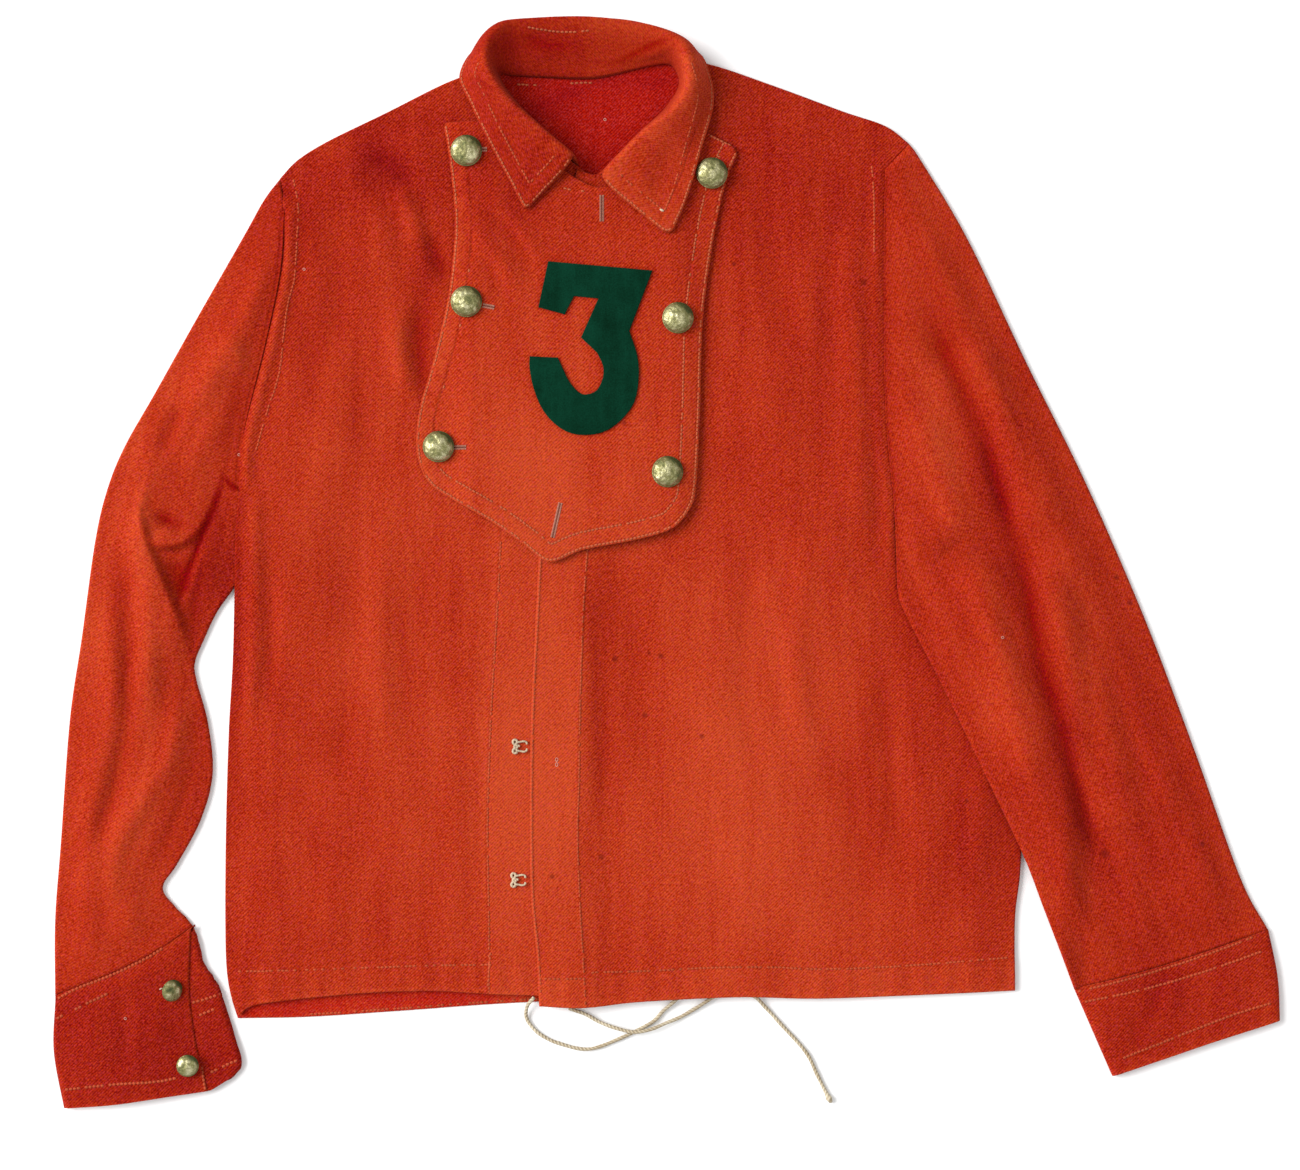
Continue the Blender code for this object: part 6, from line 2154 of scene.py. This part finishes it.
@dataclass
class Marks:
    """The small pale rings and tacks that show here and there on the cloth."""

    carriers: tuple[str, ...] = ("back_panel", "right_cuff", "right_front", "left_front", "left_sleeve",
                                 "right_sleeve", "collar_cloth")

    @staticmethod
    def ring(x: float, y: float, across: float, along: float) -> Array:
        """A closed ring of points about a place, with these two radii."""
        turn = np.linspace(0, 2 * math.pi, 13)
        return np.column_stack([x + across * np.cos(turn), y + along * np.sin(turn)])

    def build(self) -> None:
        """Lays each ring or tack on the piece that lies under it."""
        droppers = {name: Dropper(bpy.data.objects[name]) for name in self.carriers}
        back, collar = bpy.data.objects["back_panel"], bpy.data.objects["collar_cloth"]
        rings = Stitching("pale_marks", back, Thread.PALE, long=1.1, wide=0.55, high=0.3, gap=-0.2, seed=71)
        for x, y in RINGS:
            found = [(dropper.drop(x, y), dropper) for dropper in droppers.values()]
            rings.surface = max((hit for hit in found if hit[0]), key=lambda hit: hit[0][0].z)[1]
            rings.row(self.ring(x, y, 0.95, 0.95), 1.0, 0.0)
        rings.surface = droppers["left_front"]
        for x, y in PLACKET_RINGS:
            rings.row(self.ring(x, y, 0.9, 1.4), 1.0, 0.0)
        rings.finish()
        pale = Stitching("pale_tacks", collar, Thread.CREAM, long=3.4, wide=2.0, high=0.5, seed=72)
        pale.row(np.array(COLLAR_TACK), 1.0, 0.0)
        pale.long, pale.wide = 2.6, 1.3
        pale.surface = droppers["right_cuff"]
        pale.row(np.array(CUFF_TACK), 1.0, 0.0)
        pale.finish()


@dataclass(frozen=True)
class SoftLight:
    """One soft square light that looks at the shirt's middle, its place and size in metres."""

    name: str
    at: tuple[float, float, float]
    size: float
    power: float

    def build(self) -> None:
        """Builds the light."""
        data = bpy.data.lights.new(self.name, "AREA")
        data.size, data.energy = self.size, self.power
        lamp = bpy.data.objects.new(self.name, data)
        lamp.location = self.at
        lamp.rotation_mode = "QUATERNION"
        lamp.rotation_quaternion = (-Vector(self.at)).to_track_quat("-Z", "Y")
        bpy.context.scene.collection.objects.link(lamp)


@dataclass
class Studio:
    """The table, the soft lights and the camera, which looks straight down. Its sizes are in metres."""

    lens: float = 85.0
    sensor: float = 36.0
    high: float = 2.087
    aim: tuple[float, float] = (-0.0109, -0.0136)
    table: float = 12.0
    below: float = 0.0004
    sky: float = 0.56
    lights: tuple[SoftLight, ...] = (
        SoftLight("key_light", (-9.4, 2.7, 6.9), 8.0, 2380.0),
        SoftLight("fill_light", (2.0, -1.0, 4.0), 3.0, 42.0),
    )

    def build(self) -> None:
        """Builds the camera, the lights and the floor."""
        scene = bpy.context.scene
        scene.view_settings.view_transform = "Standard"
        data = bpy.data.cameras.new("camera")
        data.lens, data.sensor_width = self.lens, self.sensor
        camera = bpy.data.objects.new("camera", data)
        camera.location = (*self.aim, self.high)
        scene.collection.objects.link(camera)
        scene.camera = camera
        for light in self.lights:
            light.build()
        world = bpy.data.worlds.new("studio")
        world.use_nodes = True
        background = world.node_tree.nodes["Background"]
        background.inputs["Color"].default_value = (1, 1, 1, 1)
        background.inputs["Strength"].default_value = self.sky
        scene.world = world
        ground = bmesh.new()
        bmesh.ops.create_grid(ground, x_segments=4, y_segments=4, size=self.table)
        bmesh.ops.translate(ground, verts=ground.verts, vec=(0, 0, -self.below))
        mesh = mesh_of("ground", ground)
        mesh.materials.append(PlainPale().material("plain_pale"))
        floor = bpy.data.objects.new("ground", mesh)
        scene.collection.objects.link(floor)


def main() -> None:
    """Builds the shirt in order."""
    logging.basicConfig(level=logging.INFO, format="%(message)s")
    Studio().build()
    Drawstring().build()
    Body().build()
    Bib().build()
    Collar().build()
    for plan in SLEEVES:
        Sleeve(plan).build()
    LeftCuff().build()
    RightCuff().build()
    for i, (x, y) in enumerate(BIB_BUTTONS, 1):
        Button(f"large_button_{i}", f"bib_button_{i}", x, y, LARGE_BUTTON).build()
    for i, ((x, y), tilt) in enumerate(zip(CUFF_BUTTONS, CUFF_BUTTON_TILTS), 1):
        Button(f"small_button_{i}", f"cuff_button_{i}", x, y, SMALL_BUTTON, tilt).build()
    for i, (x, y) in enumerate(HOOKS, 1):
        Hook(f"sewn_hook_{i}", f"hook_{i}", x, y).build()
    Marks().build()


if __name__ == "__main__":
    main()
